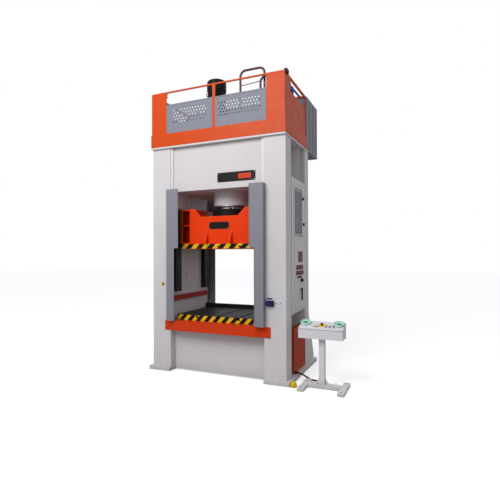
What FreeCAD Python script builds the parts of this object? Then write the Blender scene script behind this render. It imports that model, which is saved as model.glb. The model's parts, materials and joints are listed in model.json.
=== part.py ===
import FreeCAD, Part
import os
import re
import math

# A straight-side hydraulic press with its free-standing two-hand console.
# Millimetres, +X to the operator's right, +Y to the back, +Z up.
# The origin is on the floor, under the ram, in the middle of the four anchor holes.

doc = FreeCAD.newDocument("press")

# Driving sizes: alias, value, what it is.
SIZES = [
    ("column_reach", 1260, "centre line to the outer face of a column"),
    ("column_inside", 890, "centre line to the inner face of a column"),
    ("column_depth", 1310, "front to back of a column"),
    ("post_depth", 270, "front to back of a column's front post"),
    ("rear_post_depth", 230, "front to back of a column's rear post"),
    ("frame_top", 3946, "floor to the top of columns and crown"),
    ("wall", 30, "plate of the welded frame"),
    ("foot_thick", 70, "foot plate"),
    ("foot_reach", 1320, "centre line to the outer edge of a foot plate"),
    ("foot_front", 45, "foot plate ahead of the column"),
    ("foot_back", 354, "foot plate behind the column"),
    ("gusset_rise", 890, "height of the rear gusset"),
    ("anchor_radius", 22, "anchor hole"),
    ("anchor_across", 1190, "centre line to the anchor holes"),
    ("anchor_along", 200, "middle to the anchor holes, front to back"),
    ("side_face", 1237, "centre line to the side plate's outer face"),
    ("side_thick", 12, "side plate"),
    ("cabinet_bottom", 1060, "lower edge of the side plate"),
    ("cabinet_top", 3340, "upper edge of the side plate"),
    ("crown_bottom", 3170, "underside of the crown"),
    ("crown_recess", 40, "crown behind the column faces"),
    ("bed_recess", 140, "bed behind the column faces"),
    ("bed_bottom", 25, "underside of the bed"),
    ("bed_top", 850, "top of the bed"),
    ("kick_top", 375, "top of the thicker lower panel of the bed"),
    ("kick_proud", 10, "how far that panel stands out"),
    ("bolster_thick", 150, "bolster plate"),
    ("bolster_half", 800, "half width of the bolster"),
    ("bolster_depth", 1150, "front to back of the bolster"),
    ("slot_wide", 28, "neck of a clamping slot"),
    ("slot_deep", 26, "depth of that neck"),
    ("slot_foot_wide", 50, "foot of a clamping slot"),
    ("slot_foot_deep", 22, "depth of that foot"),
    ("slot_pitch", 400, "between two clamping slots"),
    ("bar_low", 735, "underside of the front bar"),
    ("bar_high", 903, "top of the front bar"),
    ("bar_proud", 70, "front bar ahead of the columns"),
    ("bar_flat", 750, "half width of the bar's flat face"),
    ("bar_gap", 8, "between bar and bolster"),
    ("bar_flange", 1000, "centre line to the outer edge of the bar's flange"),
    ("flange_thick", 12, "flange of the front bar"),
    ("rear_bar_high", 1065, "top of the rear bar"),
    ("rear_bar_thick", 55, "rear bar"),
    ("rail_low", 1235, "underside of the side rails"),
    ("rail_high", 1325, "top of the side rails"),
    ("rail_thick", 40, "side rail"),
    ("guide_thick", 75, "guide rail, across"),
    ("guide_wide", 200, "guide rail, front to back"),
    ("guide_low", 1400, "lower end of the guide rails"),
    ("guide_high", 2880, "upper end of the guide rails"),
    ("slide_gap", 0.5, "running gap between shoe and rail"),
    ("slide_half", 768, "half width of the slide"),
    ("slide_depth", 1010, "front to back of the slide"),
    ("slide_low", 2156, "underside of the platen"),
    ("platen_thick", 90, "slide platen"),
    ("slide_high", 2860, "top of the slide's shoulders"),
    ("notch_floor", 2722, "floor of the slide's notch"),
    ("notch_flat", 355, "half width of the notch at its floor"),
    ("notch_mouth", 490, "half width of the notch at its top"),
    ("pocket_in", 590, "centre line to a side pocket"),
    ("pocket_out", 740, "centre line to the far side of a pocket"),
    ("pocket_deep", 120, "depth of a side pocket"),
    ("pocket_rib", 20, "rib between the two pockets"),
    ("pocket_middle", 2570, "height of that rib"),
    ("hook_across", 235, "centre line to a hook"),
    ("hook_wide", 40, "hook, across"),
    ("hook_reach", 80, "how far a hook stands out at its foot"),
    ("hook_high", 2470, "top of a hook"),
    ("plate_half", 190, "half width of the slide's plate"),
    ("plate_low", 2500, "lower edge of the slide's plate"),
    ("plate_high", 2620, "upper edge of the slide's plate"),
    ("plate_thick", 6, "name plates"),
    ("shoe_low", 2256, "lower end of the slide shoes"),
    ("shoe_high", 2846, "upper end of the slide shoes"),
    ("shoe_wide", 170, "slide shoe, front to back"),
    ("flange_radius", 350, "ram flange"),
    ("flange_high", 140, "ram flange, height"),
    ("bolt_circle", 300, "radius of the flange bolts' circle"),
    ("bolt_radius", 24, "bolt head across corners, half"),
    ("bolt_high", 22, "bolt head, height"),
    ("plunger_radius", 250, "ram plunger"),
    ("plunger_top", 3960, "upper end of the plunger at rest"),
    ("cylinder_radius", 322, "main cylinder below the crown"),
    ("barrel_radius", 300, "main cylinder in the crown"),
    ("cylinder_bore", 262, "bore of the main cylinder"),
    ("cylinder_low", 2930, "lower end of the main cylinder"),
    ("cylinder_high", 4330, "upper end of the main cylinder"),
    ("cylinder_head", 45, "closed end of the main cylinder"),
    ("gland_radius", 330, "gland ring"),
    ("gland_thick", 30, "gland ring"),
    ("gland_gap", 0.3, "between gland ring and plunger"),
    ("seat_gap", 0.5, "between crown bore and cylinder"),
    ("guard_proud", 100, "guard sheets ahead of the columns"),
    ("guard_sheet", 6, "guard sheet"),
    ("guard_wide", 670, "centre line to the upper guard's inner edge"),
    ("guard_slim", 755, "centre line to the lower guard's inner edge"),
    ("guard_outer", 915, "centre line to the guards' outer edge"),
    ("guard_step", 2167, "height where the guards step in"),
    ("guard_top", 3200, "upper edge of the guards"),
    ("deck_thick", 30, "gallery deck"),
    ("deck_half", 1272, "half width of the deck"),
    ("deck_front", 694, "middle to the front edge of the deck"),
    ("gallery_back", 500, "middle to the back edge of the gallery"),
    ("skirt_reach", 1276, "half width over the skirt"),
    ("skirt_front", 698, "middle to the skirt's front face"),
    ("skirt_thick", 12, "skirt"),
    ("skirt_high", 227, "skirt"),
    ("fence_top", 4950, "floor to the top of the fence"),
    ("fence_rail", 25, "top rail"),
    ("side_rail", 45, "side rails of the fence, height"),
    ("rear_return", 40, "rear posts of the fence, along the side"),
    ("corner_box_reach", 1292, "centre line to the outer face of the corner box"),
    ("corner_box_rise", 34, "corner box above the fence"),
    ("post_wide", 314, "corner post, across"),
    ("post_return", 280, "corner post, along the side"),
    ("fence_sheet", 8, "sheets of the fence"),
    ("divider_half", 28, "half width of the middle divider"),
    ("grille_top", 4718, "upper edge of the grilles"),
    ("hole_radius", 13, "hole in a grille"),
    ("hole_pitch", 55, "between two holes in a row"),
    ("hole_row", 52, "between two rows"),
    ("tank_half", 1280, "half width of the oil tank"),
    ("tank_front", 500, "middle to the front of the oil tank"),
    ("tank_back", 1275, "middle to the back of the oil tank"),
    ("tank_low", 3946, "underside of the oil tank behind the columns"),
    ("tank_high", 4950, "top of the oil tank"),
    ("tank_wall", 8, "wall of the oil tank"),
    ("motor_across", -437, "motor's axis, across"),
    ("motor_along", 242, "motor's axis, front to back"),
    ("motor_radius", 175, "motor body"),
    ("motor_low", 4600, "motor's mounting face"),
    ("motor_high", 5230, "upper end of the motor body"),
    ("cowl_radius", 185, "fan cowl"),
    ("cowl_high", 5405, "top of the fan cowl"),
    ("fan_radius", 158, "motor fan"),
    ("shaft_radius", 20, "motor shaft at the fan"),
    ("bell_radius", 150, "bell housing"),
    ("pump_radius", 105, "pump"),
    ("bottle_radius", 75, "accumulator"),
    ("bottle_neck", 30, "accumulator's neck"),
    ("bottle_across", 1100, "accumulator, across"),
    ("bottle_along", 50, "accumulator, front to back"),
    ("bottle_high", 5050, "top of the accumulator"),
    ("return_radius", 18, "return pipe from the accumulator to the tank"),
    ("return_drop", 720, "middle to that pipe's drop into the tank"),
    ("hoop_tube", 20, "radius of the hoops' tube"),
    ("hoop_bend", 100, "bend of the hoops"),
    ("hoop_high", 5312, "top of the tall hoop"),
    ("hoop_left", 277, "left leg of the tall hoop"),
    ("hoop_right", 735, "right leg of the tall hoop"),
    ("hoop_along", -205, "tall hoop, front to back"),
    ("low_hoop_high", 5122, "top of the low hoop"),
    ("low_hoop_left", 683, "left leg of the low hoop"),
    ("low_hoop_right", 1150, "right leg of the low hoop"),
    ("low_hoop_along", -265, "low hoop, front to back"),
    ("link_radius", 7, "thin link between the hoops"),
    ("link_high", 5030, "height of that link"),
    ("pipe_radius", 45, "suction pipe"),
    ("line_radius", 22, "pressure pipe"),
    ("door_front", -225, "hinge edge of the doors"),
    ("door_back", 345, "latch edge of the doors"),
    ("door_thick", 22, "doors"),
    ("knuckle_radius", 8, "hinge knuckle of the doors"),
    ("door_stand", 0.3, "running gap between doors and side plate"),
    ("door_split_low", 2362, "top of the lower door"),
    ("door_split_high", 2382, "foot of the upper door"),
    ("door_low", 1100, "foot of the lower door"),
    ("door_high", 3290, "top of the upper door"),
    ("knob_radius", 28, "switch knob"),
    ("knob_along", 177, "switch knob, front to back"),
    ("knob_up", 1604, "switch knob, height"),
    ("handle_along", 172, "door handle, front to back"),
    ("handle_low", 1256, "lower end of the door handle"),
    ("handle_high", 1465, "upper end of the door handle"),
    ("cover_high", 822, "upper edge of the lower covers"),
    ("cover_front", -255, "front edge of the lower covers"),
    ("cover_back", 425, "back edge of the lower covers"),
    ("socket_across", 975, "socket, across"),
    ("socket_up", 1277, "socket, height"),
    ("socket_radius", 38, "socket"),
    ("socket_deep", 50, "socket"),
    ("stop_across", -1044, "column stop button, across"),
    ("stop_up", 1540, "column stop button, height"),
    ("pad_radius", 52, "corner pad"),
    ("pad_high", 95, "corner pad"),
    ("stand_across", 1800, "console post, across"),
    ("stand_along", -545, "console post, front to back"),
    ("stand_tube", 88, "console post"),
    ("stand_top", 765, "upper end of the console post"),
    ("stand_foot_reach", 378, "post to the outer side of the right foot"),
    ("stand_foot_left", 325, "post to the outer side of the left foot"),
    ("stand_foot_half", 270, "half length of a foot"),
    ("stand_foot_wide", 100, "foot"),
    ("stand_foot_high", 50, "foot"),
    ("console_half", 340, "half width of the console"),
    ("console_depth", 260, "front to back of the console"),
    ("console_low", 775, "underside of the console"),
    ("console_front", 930, "front edge of the console's top"),
    ("console_back", 1005, "back edge of the console's top"),
    ("console_wall", 4, "sheet of the console"),
    ("palm_across", 260, "console's middle to a palm button"),
    ("palm_radius", 34, "palm button"),
    ("dish_radius", 80, "guard dish"),
    ("palm_up", 20, "console's middle to the palm buttons, up the slope"),
    ("keys_along_lid", -34, "console's middle to the small buttons, up the slope"),
    ("stop_along_lid", -6, "console's middle to the stop button, up the slope"),
    ("conduit_radius", 14, "conduit"),
    ("gland_up", 94, "height of the conduit's gland on the cover"),
    ("gland_along", -192, "conduit's gland, front to back"),
    ("post_gland_up", 105, "height of the conduit's gland on the post"),
]

sheet = doc.addObject("Spreadsheet::Sheet", "Sizes")
for row, (alias, value, note) in enumerate(SIZES, start=1):
    sheet.set(f"A{row}", alias)
    sheet.set(f"B{row}", str(value))
    sheet.set(f"C{row}", note)
    sheet.setAlias(f"B{row}", alias)
doc.recompute()

NAMES = {alias for alias, value, note in SIZES}
WORD = re.compile(r"[a-z_]+")


def formula(text):
    """The text with every alias written as a cell of the sheet."""
    def cell(match):
        word = match.group(0)
        return "Sizes." + word if word in NAMES else word
    return WORD.sub(cell, str(text))


def value(alias):
    return float(sheet.get(alias))


def bind(piece, prop, text):
    piece.setExpression(prop, formula(text))


def place(piece, x="0", y="0", z="0"):
    bind(piece, "Placement.Base.x", x)
    bind(piece, "Placement.Base.y", y)
    bind(piece, "Placement.Base.z", z)


counter = {"made": 0}


def fresh(stem):
    """A new inner name for a construction object."""
    counter["made"] += 1
    return f"{stem}{counter['made']}"


def block(x, y, z):
    """A box between two stations on each axis."""
    piece = doc.addObject("Part::Box", fresh("block"))
    for prop, (low, high) in zip(("Length", "Width", "Height"), (x, y, z)):
        bind(piece, prop, f"({high}) - ({low})")
    place(piece, x[0], y[0], z[0])
    return piece


def rod(radius, length, x, y, z, axis="z"):
    """A cylinder that starts at a point and runs along an axis."""
    piece = doc.addObject("Part::Cylinder", fresh("rod"))
    bind(piece, "Radius", radius)
    bind(piece, "Height", length)
    turns = {"z": ((0, 0, 1), 0), "x": ((0, 1, 0), 90), "y": ((1, 0, 0), -90)}
    direction, angle = turns[axis]
    piece.Placement = FreeCAD.Placement(
        FreeCAD.Vector(0, 0, 0), FreeCAD.Rotation(FreeCAD.Vector(*direction), angle))
    place(piece, x, y, z)
    return piece


def join(pieces, label=None):
    """One solid of pieces that touch."""
    made = doc.addObject("Part::MultiFuse", fresh("join"))
    made.Shapes = pieces
    made.Refine = True
    return named(made, label)


def group(pieces, label=None):
    """Separate solids in one node."""
    made = doc.addObject("Part::Compound", fresh("group"))
    made.Links = pieces
    return named(made, label)


def carve(base, tools, label=None):
    """The base less the tools."""
    made = doc.addObject("Part::Cut", fresh("carve"))
    made.Base = base
    made.Tool = tools[0] if len(tools) == 1 else join(tools)
    made.Refine = True
    return named(made, label)


kept = []


def named(piece, label):
    """Gives a finished sub-part its node name."""
    if label:
        piece.Label = label
        kept.append(piece)
    return piece


def new_body(label=None):
    body = doc.addObject("PartDesign::Body", fresh("body"))
    return named(body, label)


def plane(body, role):
    return [item for item in body.Origin.OriginFeatures if item.Role == role][0]


def sketch_on(body, role, shift="0"):
    """A sketch on one of the body's origin planes, moved along its normal."""
    drawing = body.newObject("Sketcher::SketchObject", fresh("sketch"))
    drawing.AttachmentSupport = (plane(body, role), [""])
    drawing.MapMode = "FlatFace"
    bind(drawing, "AttachmentOffset.Base.z", shift)
    return drawing


def measure(text):
    """The value of a formula now, for a sketch's first drawing."""
    words = WORD.sub(lambda m: str(value(m.group(0))) if m.group(0) in NAMES else m.group(0), str(text))
    return float(FreeCAD.Units.Quantity(words).Value)


def pin_point(drawing, geometry, position, point):
    """Holds a point at two bound distances from the origin."""
    import Sketcher
    for kind, text in zip(("DistanceX", "DistanceY"), point):
        index = drawing.addConstraint(
            Sketcher.Constraint(kind, -1, 1, geometry, position, measure(text)))
        bind(drawing, f"Constraints[{index}]", text)


def outline(drawing, points):
    """A closed outline with straight sides and bound corners."""
    import Sketcher
    corners = [FreeCAD.Vector(measure(x), measure(y), 0) for x, y in points]
    first = drawing.GeometryCount
    for start, end in zip(corners, corners[1:] + corners[:1]):
        drawing.addGeometry(Part.LineSegment(start, end), False)
    for index in range(len(points)):
        following = first + (index + 1) % len(points)
        drawing.addConstraint(Sketcher.Constraint("Coincident", first + index, 2, following, 1))
        pin_point(drawing, first + index, 1, points[index])


def ring(drawing, centre, radius):
    """A circle with a bound centre and radius."""
    import Sketcher
    middle = FreeCAD.Vector(measure(centre[0]), measure(centre[1]), 0)
    index = drawing.addGeometry(
        Part.Circle(middle, FreeCAD.Vector(0, 0, 1), measure(radius)), False)
    pin_point(drawing, index, 3, centre)
    made = drawing.addConstraint(Sketcher.Constraint("Radius", index, measure(radius)))
    bind(drawing, f"Constraints[{made}]", radius)


def pad(body, drawing, length, reverse=False):
    made = body.newObject("PartDesign::Pad", fresh("pad"))
    made.Profile = drawing
    bind(made, "Length", length)
    made.Reversed = reverse
    return made


def pocket(body, drawing, length, reverse=False):
    made = body.newObject("PartDesign::Pocket", fresh("pocket"))
    made.Profile = drawing
    bind(made, "Length", length)
    made.Reversed = reverse
    return made


def repeat(body, feature, direction, span, count):
    """A row of copies of a feature along a sketch axis."""
    made = body.newObject("PartDesign::LinearPattern", fresh("row"))
    made.Originals = [feature]
    made.Direction = direction
    bind(made, "Length", span)
    made.Occurrences = count
    body.Tip = made
    return made


def turned(label, points):
    """A piece turned about the Z axis from half its section, as radius and height."""
    body = new_body(label)
    drawing = sketch_on(body, "XZ_Plane")
    outline(drawing, points)
    made = body.newObject("PartDesign::Revolution", fresh("turn"))
    made.Profile = drawing
    made.ReferenceAxis = (drawing, ["V_Axis"])
    made.Angle = 360
    return body


def across(side, low, high):
    """Stations of a block on the left (-1) or right (1) side."""
    if side > 0:
        return (low, high)
    return (f"-({high})", f"-({low})")


def both_sides(maker):
    return [maker(-1), maker(1)]


FRONT = "-column_depth / 2"
BACK = "column_depth / 2"


def column(side, label):
    """Two box posts, the wall between them, foot plate, side plate and gussets."""
    def beam(x, y, z):
        return block(across(side, *x), y, z)

    height = ("foot_thick", "frame_top")
    wide = ("column_inside", "column_reach")
    hollow = ("column_inside + wall", "column_reach - wall")
    front_post = (FRONT, f"{FRONT} + post_depth")
    back_post = (f"{BACK} - rear_post_depth", BACK)
    between = (front_post[1], back_post[0])
    web = ("column_inside", "column_inside + wall")
    inside = ("column_inside + wall", "side_face - side_thick")
    solid = [
        beam(wide, front_post, height),
        beam(wide, back_post, height),
        beam(web, between, height),
        beam(("column_inside", "foot_reach"), (f"{FRONT} - foot_front", f"{BACK} + foot_back"),
             ("0", "foot_thick")),
        beam(("side_face - side_thick", "side_face"), between, ("cabinet_bottom", "cabinet_top")),
        beam(inside, between, ("cabinet_bottom", "cabinet_bottom + side_thick")),
        beam(inside, between, ("cabinet_top - side_thick", "cabinet_top")),
        beam(inside, ("180", "200"), ("cabinet_top", "frame_top")),
        gusset(side, "column_reach - wall"),
        gusset(side, "column_inside + wall"),
    ]
    tools = [
        beam(hollow, (f"{FRONT} + wall", f"{FRONT} + post_depth - wall"), height),
        beam(hollow, (f"{BACK} - rear_post_depth + wall", f"{BACK} - wall"), height),
    ]
    tools += [rod("anchor_radius", "foot_thick + 20", f"{side} * anchor_across",
                  f"{sign} * anchor_along", "-10") for sign in (-1, 1)]
    if side > 0:
        opening = ("side_face - side_thick - 1", "side_face + 1")
        edge = ("door_front + 40", "door_back - 40")
        tools.append(beam(opening, edge, ("door_low + 40", "door_split_low - 40")))
        tools.append(beam(opening, edge, ("door_split_high + 40", "door_high - 40")))
        solid.append(beam(("side_face", "column_reach - 4"), ("-330", "door_front - 12"),
                          ("cabinet_bottom", "cabinet_top")))
    return carve(join(solid), tools, label)


def gusset(side, start):
    """A sloping rear stiffener on the foot plate."""
    body = doc.addObject("PartDesign::Body", fresh("body"))
    low = start if side > 0 else f"-({start}) - wall"
    drawing = sketch_on(body, "YZ_Plane", low)
    outline(drawing, [
        (BACK, "foot_thick"), (f"{BACK} + foot_back - 9", "foot_thick"),
        (f"{BACK} + foot_back - 9", "foot_thick + 60"), (BACK, "foot_thick + gusset_rise")])
    pad(body, drawing, "wall")
    return body


def crown():
    """A welded box beam between the columns, bored for the main cylinder."""
    front = f"{FRONT} + crown_recess"
    back = f"{BACK} - crown_recess"
    span = ("-column_inside", "column_inside")
    skin = join([
        block(span, (front, f"{front} + wall"), ("crown_bottom", "frame_top")),
        block(span, (f"{back} - wall", back), ("crown_bottom", "frame_top")),
        block(span, (front, back), ("crown_bottom", "crown_bottom + 2 * wall")),
        block(span, (front, back), ("frame_top - 2 * wall", "frame_top")),
        block(("-column_inside", "-column_inside + wall"), (front, back), ("crown_bottom", "frame_top")),
        block(("column_inside - wall", "column_inside"), (front, back), ("crown_bottom", "frame_top")),
        block(("-460 - wall", "-460"), (front, back), ("crown_bottom", "frame_top")),
        block(("460", "460 + wall"), (front, back), ("crown_bottom", "frame_top")),
    ])
    bore = rod("barrel_radius + seat_gap", "frame_top - crown_bottom + 20", "0", "0", "crown_bottom - 10")
    return carve(skin, [bore], "crown")


def bed():
    """A welded box beam that carries the bolster."""
    front = f"{FRONT} + bed_recess"
    back = f"{BACK} - bed_recess"
    span = ("-column_inside", "column_inside")
    rise = ("bed_bottom", "bed_top")
    kick = ("-column_inside + 10", "column_inside - 10")
    return join([
        block(span, (front, f"{front} + wall"), rise),
        block(span, (f"{back} - wall", back), rise),
        block(span, (front, back), ("bed_top - 2 * wall", "bed_top")),
        block(("-column_inside", "-column_inside + wall"), (front, back), rise),
        block(("column_inside - wall", "column_inside"), (front, back), rise),
        block(("-400 - wall", "-400"), (front, back), rise),
        block(("400", "400 + wall"), (front, back), rise),
        block(kick, (f"{front} - kick_proud", front), ("bed_bottom", "kick_top")),
    ], "bed")


def slot_outline(face, sign):
    """Section of a T-shaped clamping slot that opens at a face's height."""
    neck = f"{face} - {sign} * slot_deep"
    floor = f"{face} - {sign} * (slot_deep + slot_foot_deep)"
    lip = f"{face} + {sign} * 1"
    left = "-slot_pitch"
    return [
        (f"{left} - slot_wide / 2", lip), (f"{left} - slot_wide / 2", neck),
        (f"{left} - slot_foot_wide / 2", neck), (f"{left} - slot_foot_wide / 2", floor),
        (f"{left} + slot_foot_wide / 2", floor), (f"{left} + slot_foot_wide / 2", neck),
        (f"{left} + slot_wide / 2", neck), (f"{left} + slot_wide / 2", lip)]


def slotted_plate(label, half, depth, low, thick, opens_up):
    """A platen with three clamping slots from front to back."""
    body = new_body(label)
    base = sketch_on(body, "XY_Plane", low)
    outline(base, [(f"-({half})", f"-({depth}) / 2"), (half, f"-({depth}) / 2"),
                   (half, f"({depth}) / 2"), (f"-({half})", f"({depth}) / 2")])
    pad(body, base, thick)
    face = f"{low} + {thick}" if opens_up else low
    drawing = sketch_on(body, "XZ_Plane", f"({depth}) / 2 + 5")
    outline(drawing, slot_outline(face, 1 if opens_up else -1))
    cut = pocket(body, drawing, f"{depth} + 10")
    repeat(body, cut, (drawing, ["H_Axis"]), "2 * slot_pitch", 3)
    return body


def safety_bars():
    """The front bumper bar with its flanges, and the plain rear bar."""
    body = doc.addObject("PartDesign::Body", fresh("body"))
    drawing = sketch_on(body, "XY_Plane", "bar_low")
    face = f"{FRONT} - bar_proud"
    flank = f"{FRONT} - flange_thick"
    inner = "-bolster_depth / 2 - bar_gap"
    end = "column_inside - 4"
    outline(drawing, [
        ("-bar_flat", face), ("bar_flat", face), (end, flank), (end, inner),
        (f"-({end})", inner), (f"-({end})", flank)])
    pad(body, drawing, "bar_high - bar_low")
    flanges = both_sides(lambda side: block(
        across(side, "column_inside - 6", "bar_flange"), (f"{FRONT} - flange_thick", FRONT),
        ("bar_low - 10", "bar_high - 5")))
    rear = block(("-column_inside", "column_inside"),
                 ("bolster_depth / 2 + bar_gap", "bolster_depth / 2 + bar_gap + rear_bar_thick"),
                 ("bar_high", "rear_bar_high"))
    group([join([body] + flanges), rear], "safety_bars")


def inner_rails():
    group(both_sides(lambda side: block(
        across(side, "column_inside - rail_thick", "column_inside"), (f"{FRONT} + 55", f"{BACK} - 80"),
        ("rail_low", "rail_high"))), "inner_rails")


def guide_rail(side, end):
    """One chamfered guide rail on a column's inner wall."""
    body = doc.addObject("PartDesign::Body", fresh("body"))
    drawing = sketch_on(body, "XY_Plane", "guide_low")
    near = f"{side} * (column_inside - guide_thick)"
    far = f"{side} * column_inside"
    outer = f"{end} * (column_depth / 2 - 50)"
    inner = f"{end} * (column_depth / 2 - 50 - guide_wide)"
    corners = [(far, outer), (far, inner), (near, f"{inner} + {end} * 12"), (near, f"{outer} - {end} * 12")]
    outline(drawing, corners)
    pad(body, drawing, "guide_high - guide_low")
    return body


def guard(side, end):
    """A folded guard sheet in front of (-1) or behind (1) a column's inner edge."""
    plate = f"{end} * (column_depth / 2 + guard_proud)"
    back = f"{plate} - {end} * guard_sheet"
    flank = f"{end} * column_depth / 2"
    depth = (plate, back) if end < 0 else (back, plate)
    reach = (plate, flank) if end < 0 else (flank, plate)
    low = "bar_high + 1"
    outer = ("guard_outer - guard_sheet", "guard_outer")
    return join([
        block(across(side, "guard_wide", "guard_outer"), depth, ("guard_step", "guard_top")),
        block(across(side, "guard_slim", "guard_outer"), depth, (low, "guard_step")),
        block(across(side, *outer), reach, (low, "guard_top")),
    ])


def slide_block():
    """The slide's welded body: notched outline, side pockets and hooks."""
    body = new_body("slide_block")
    front = "slide_depth / 2"
    base = sketch_on(body, "XZ_Plane", front)
    low = "slide_low + platen_thick"
    outline(base, [
        ("-slide_half", low), ("slide_half", low), ("slide_half", "slide_high"),
        ("notch_mouth", "slide_high"), ("notch_flat", "notch_floor"),
        ("-notch_flat", "notch_floor"), ("-notch_mouth", "slide_high"), ("-slide_half", "slide_high")])
    pad(body, base, "slide_depth", True)
    ribs = ("pocket_middle + pocket_rib / 2", "pocket_middle - pocket_rib / 2")
    bands = (("slide_low + platen_thick + 22", ribs[1]), (ribs[0], "slide_high - 30"))
    for shift, flip in ((front, False), (f"-({front})", True)):
        for side in (-1, 1):
            for lower, upper in bands:
                drawing = sketch_on(body, "XZ_Plane", shift)
                near, far = f"{side} * pocket_in", f"{side} * pocket_out"
                outline(drawing, [(near, lower), (far, lower), (far, upper), (near, upper)])
                pocket(body, drawing, "pocket_deep", flip)
    for side in (-1, 1):
        drawing = sketch_on(body, "YZ_Plane", f"{side} * hook_across - hook_wide / 2")
        outline(drawing, [(f"-({front})", f"{low}"), (f"-({front}) - hook_reach", f"{low}"),
                          (f"-({front}) - hook_reach", f"{low} + 60"), (f"-({front})", "hook_high")])
        pad(body, drawing, "hook_wide")
    return body


def slide_fittings():
    """Plate, shoes, ram flange, plunger and bolts that travel with the slide."""
    named(block(("-plate_half", "plate_half"), ("-slide_depth / 2 - plate_thick", "-slide_depth / 2"),
                ("plate_low", "plate_high")), "slide_plate")
    shoes = []
    for side in (-1, 1):
        for end in (-1, 1):
            middle = f"{end} * (slide_depth / 2 - shoe_wide / 2 - 10)"
            shoes.append(block(
                across(side, "slide_half", "column_inside - guide_thick - slide_gap"),
                (f"{middle} - shoe_wide / 2", f"{middle} + shoe_wide / 2"), ("shoe_low", "shoe_high")))
    group(shoes, "slide_shoes")
    top = "notch_floor + flange_high"
    turned("ram_flange", [
        ("plunger_radius + gland_gap", "notch_floor"), ("flange_radius", "notch_floor"),
        ("flange_radius", f"{top} - 12"), ("flange_radius - 12", top),
        ("plunger_radius + gland_gap", top)])
    named(rod("plunger_radius", "plunger_top - notch_floor", "0", "0", "notch_floor"), "ram_plunger")
    group([bolt(index, top) for index in range(8)], "flange_bolts")


def bolt(index, top):
    """One hexagon bolt head on the ram flange."""
    head = doc.addObject("Part::Prism", fresh("bolt"))
    head.Polygon = 6
    bind(head, "Circumradius", "bolt_radius")
    bind(head, "Height", "bolt_high")
    angle = f"{22.5 + 45 * index} deg"
    place(head, f"bolt_circle * cos({angle})", f"bolt_circle * sin({angle})", top)
    return head


def cylinder():
    """The main cylinder hung in the crown, and the gland ring under it."""
    turned("main_cylinder", [
        ("cylinder_bore", "cylinder_low"), ("cylinder_radius", "cylinder_low"),
        ("cylinder_radius", "crown_bottom"), ("barrel_radius", "crown_bottom"),
        ("barrel_radius", "cylinder_high"), ("0", "cylinder_high"),
        ("0", "cylinder_high - cylinder_head"), ("cylinder_bore", "cylinder_high - cylinder_head")])
    turned("cylinder_gland", [
        ("plunger_radius + gland_gap", "cylinder_low - gland_thick"),
        ("gland_radius - 8", "cylinder_low - gland_thick"),
        ("gland_radius", "cylinder_low - gland_thick + 8"),
        ("gland_radius", "cylinder_low"), ("plunger_radius + gland_gap", "cylinder_low")])
    valve = turned(None, [
        ("0", "cylinder_high"), ("210", "cylinder_high"), ("210", "cylinder_high + 40"),
        ("150", "cylinder_high + 40"), ("150", "cylinder_high + 250"), ("120", "cylinder_high + 280"),
        ("0", "cylinder_high + 280")])
    join([valve, rod("pipe_radius + 15", "90", "0", "90", "cylinder_high + 150", "y"),
          rod("line_radius + 12", "80", "100", "0", "cylinder_high + 150", "x")], "prefill_valve")


DECK = "frame_top + deck_thick"


def skirt():
    """A band of sheet round the front and sides of the deck."""
    body = new_body("gallery_skirt")
    drawing = sketch_on(body, "XY_Plane", DECK)
    inner = "skirt_reach - skirt_thick"
    front = "-skirt_front"
    outline(drawing, [
        ("-skirt_reach", front), ("skirt_reach", front), ("skirt_reach", "gallery_back"),
        (inner, "gallery_back"), (inner, f"{front} + skirt_thick"),
        (f"-({inner})", f"{front} + skirt_thick"), (f"-({inner})", "gallery_back"),
        ("-skirt_reach", "gallery_back")])
    pad(body, drawing, "skirt_high")
    return body


INNER_FRONT = "-skirt_front + skirt_thick"
INNER_SIDE = "skirt_reach - skirt_thick"


def fence():
    """Corner posts and divider joined to the top rail."""
    rise = (DECK, "fence_top - fence_rail")
    sheet_front = (INNER_FRONT, f"{INNER_FRONT} + fence_sheet")
    sheet_side = (f"{INNER_SIDE} - fence_sheet", INNER_SIDE)
    top = ("fence_top - fence_rail", "fence_top")
    pieces = []
    for side in (-1, 1):
        pieces.append(block(across(side, f"{INNER_SIDE} - post_wide", INNER_SIDE), sheet_front, rise))
        pieces.append(block(across(side, *sheet_side), (INNER_FRONT, f"{INNER_FRONT} + post_return"), rise))
        pieces.append(block(across(side, *sheet_side), ("gallery_back - rear_return", "gallery_back"),
                            (DECK, "fence_top - side_rail")))
        pieces.append(block(across(side, f"{INNER_SIDE} - fence_rail", INNER_SIDE),
                            (INNER_FRONT, "gallery_back"), ("fence_top - side_rail", "fence_top")))
    pieces.append(block(("-divider_half", "divider_half"), sheet_front, rise))
    pieces.append(block((f"-({INNER_SIDE})", INNER_SIDE), (INNER_FRONT, f"{INNER_FRONT} + fence_rail"), top))
    pieces.append(block((f"-({INNER_SIDE})", INNER_SIDE), ("gallery_back - fence_rail", "gallery_back"), top))
    join(pieces, "gallery_frame")
    depth = (f"{INNER_FRONT} + fence_rail", f"{INNER_FRONT} + fence_rail + 105")
    join([
        block((f"{INNER_SIDE} - fence_rail", "corner_box_reach"), depth,
              ("fence_top", "fence_top + corner_box_rise")),
        block((INNER_SIDE, "corner_box_reach"), depth, ("fence_top - corner_box_rise", "fence_top")),
    ], "corner_box")


def side_sheets():
    """Plain sheets between the corner posts on both sides."""
    group(both_sides(lambda side: block(
        across(side, f"{INNER_SIDE} - fence_sheet", INNER_SIDE),
        (f"{INNER_FRONT} + post_return", "gallery_back - rear_return"), (DECK, "grille_top - 5"))),
        "side_panels")


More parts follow.
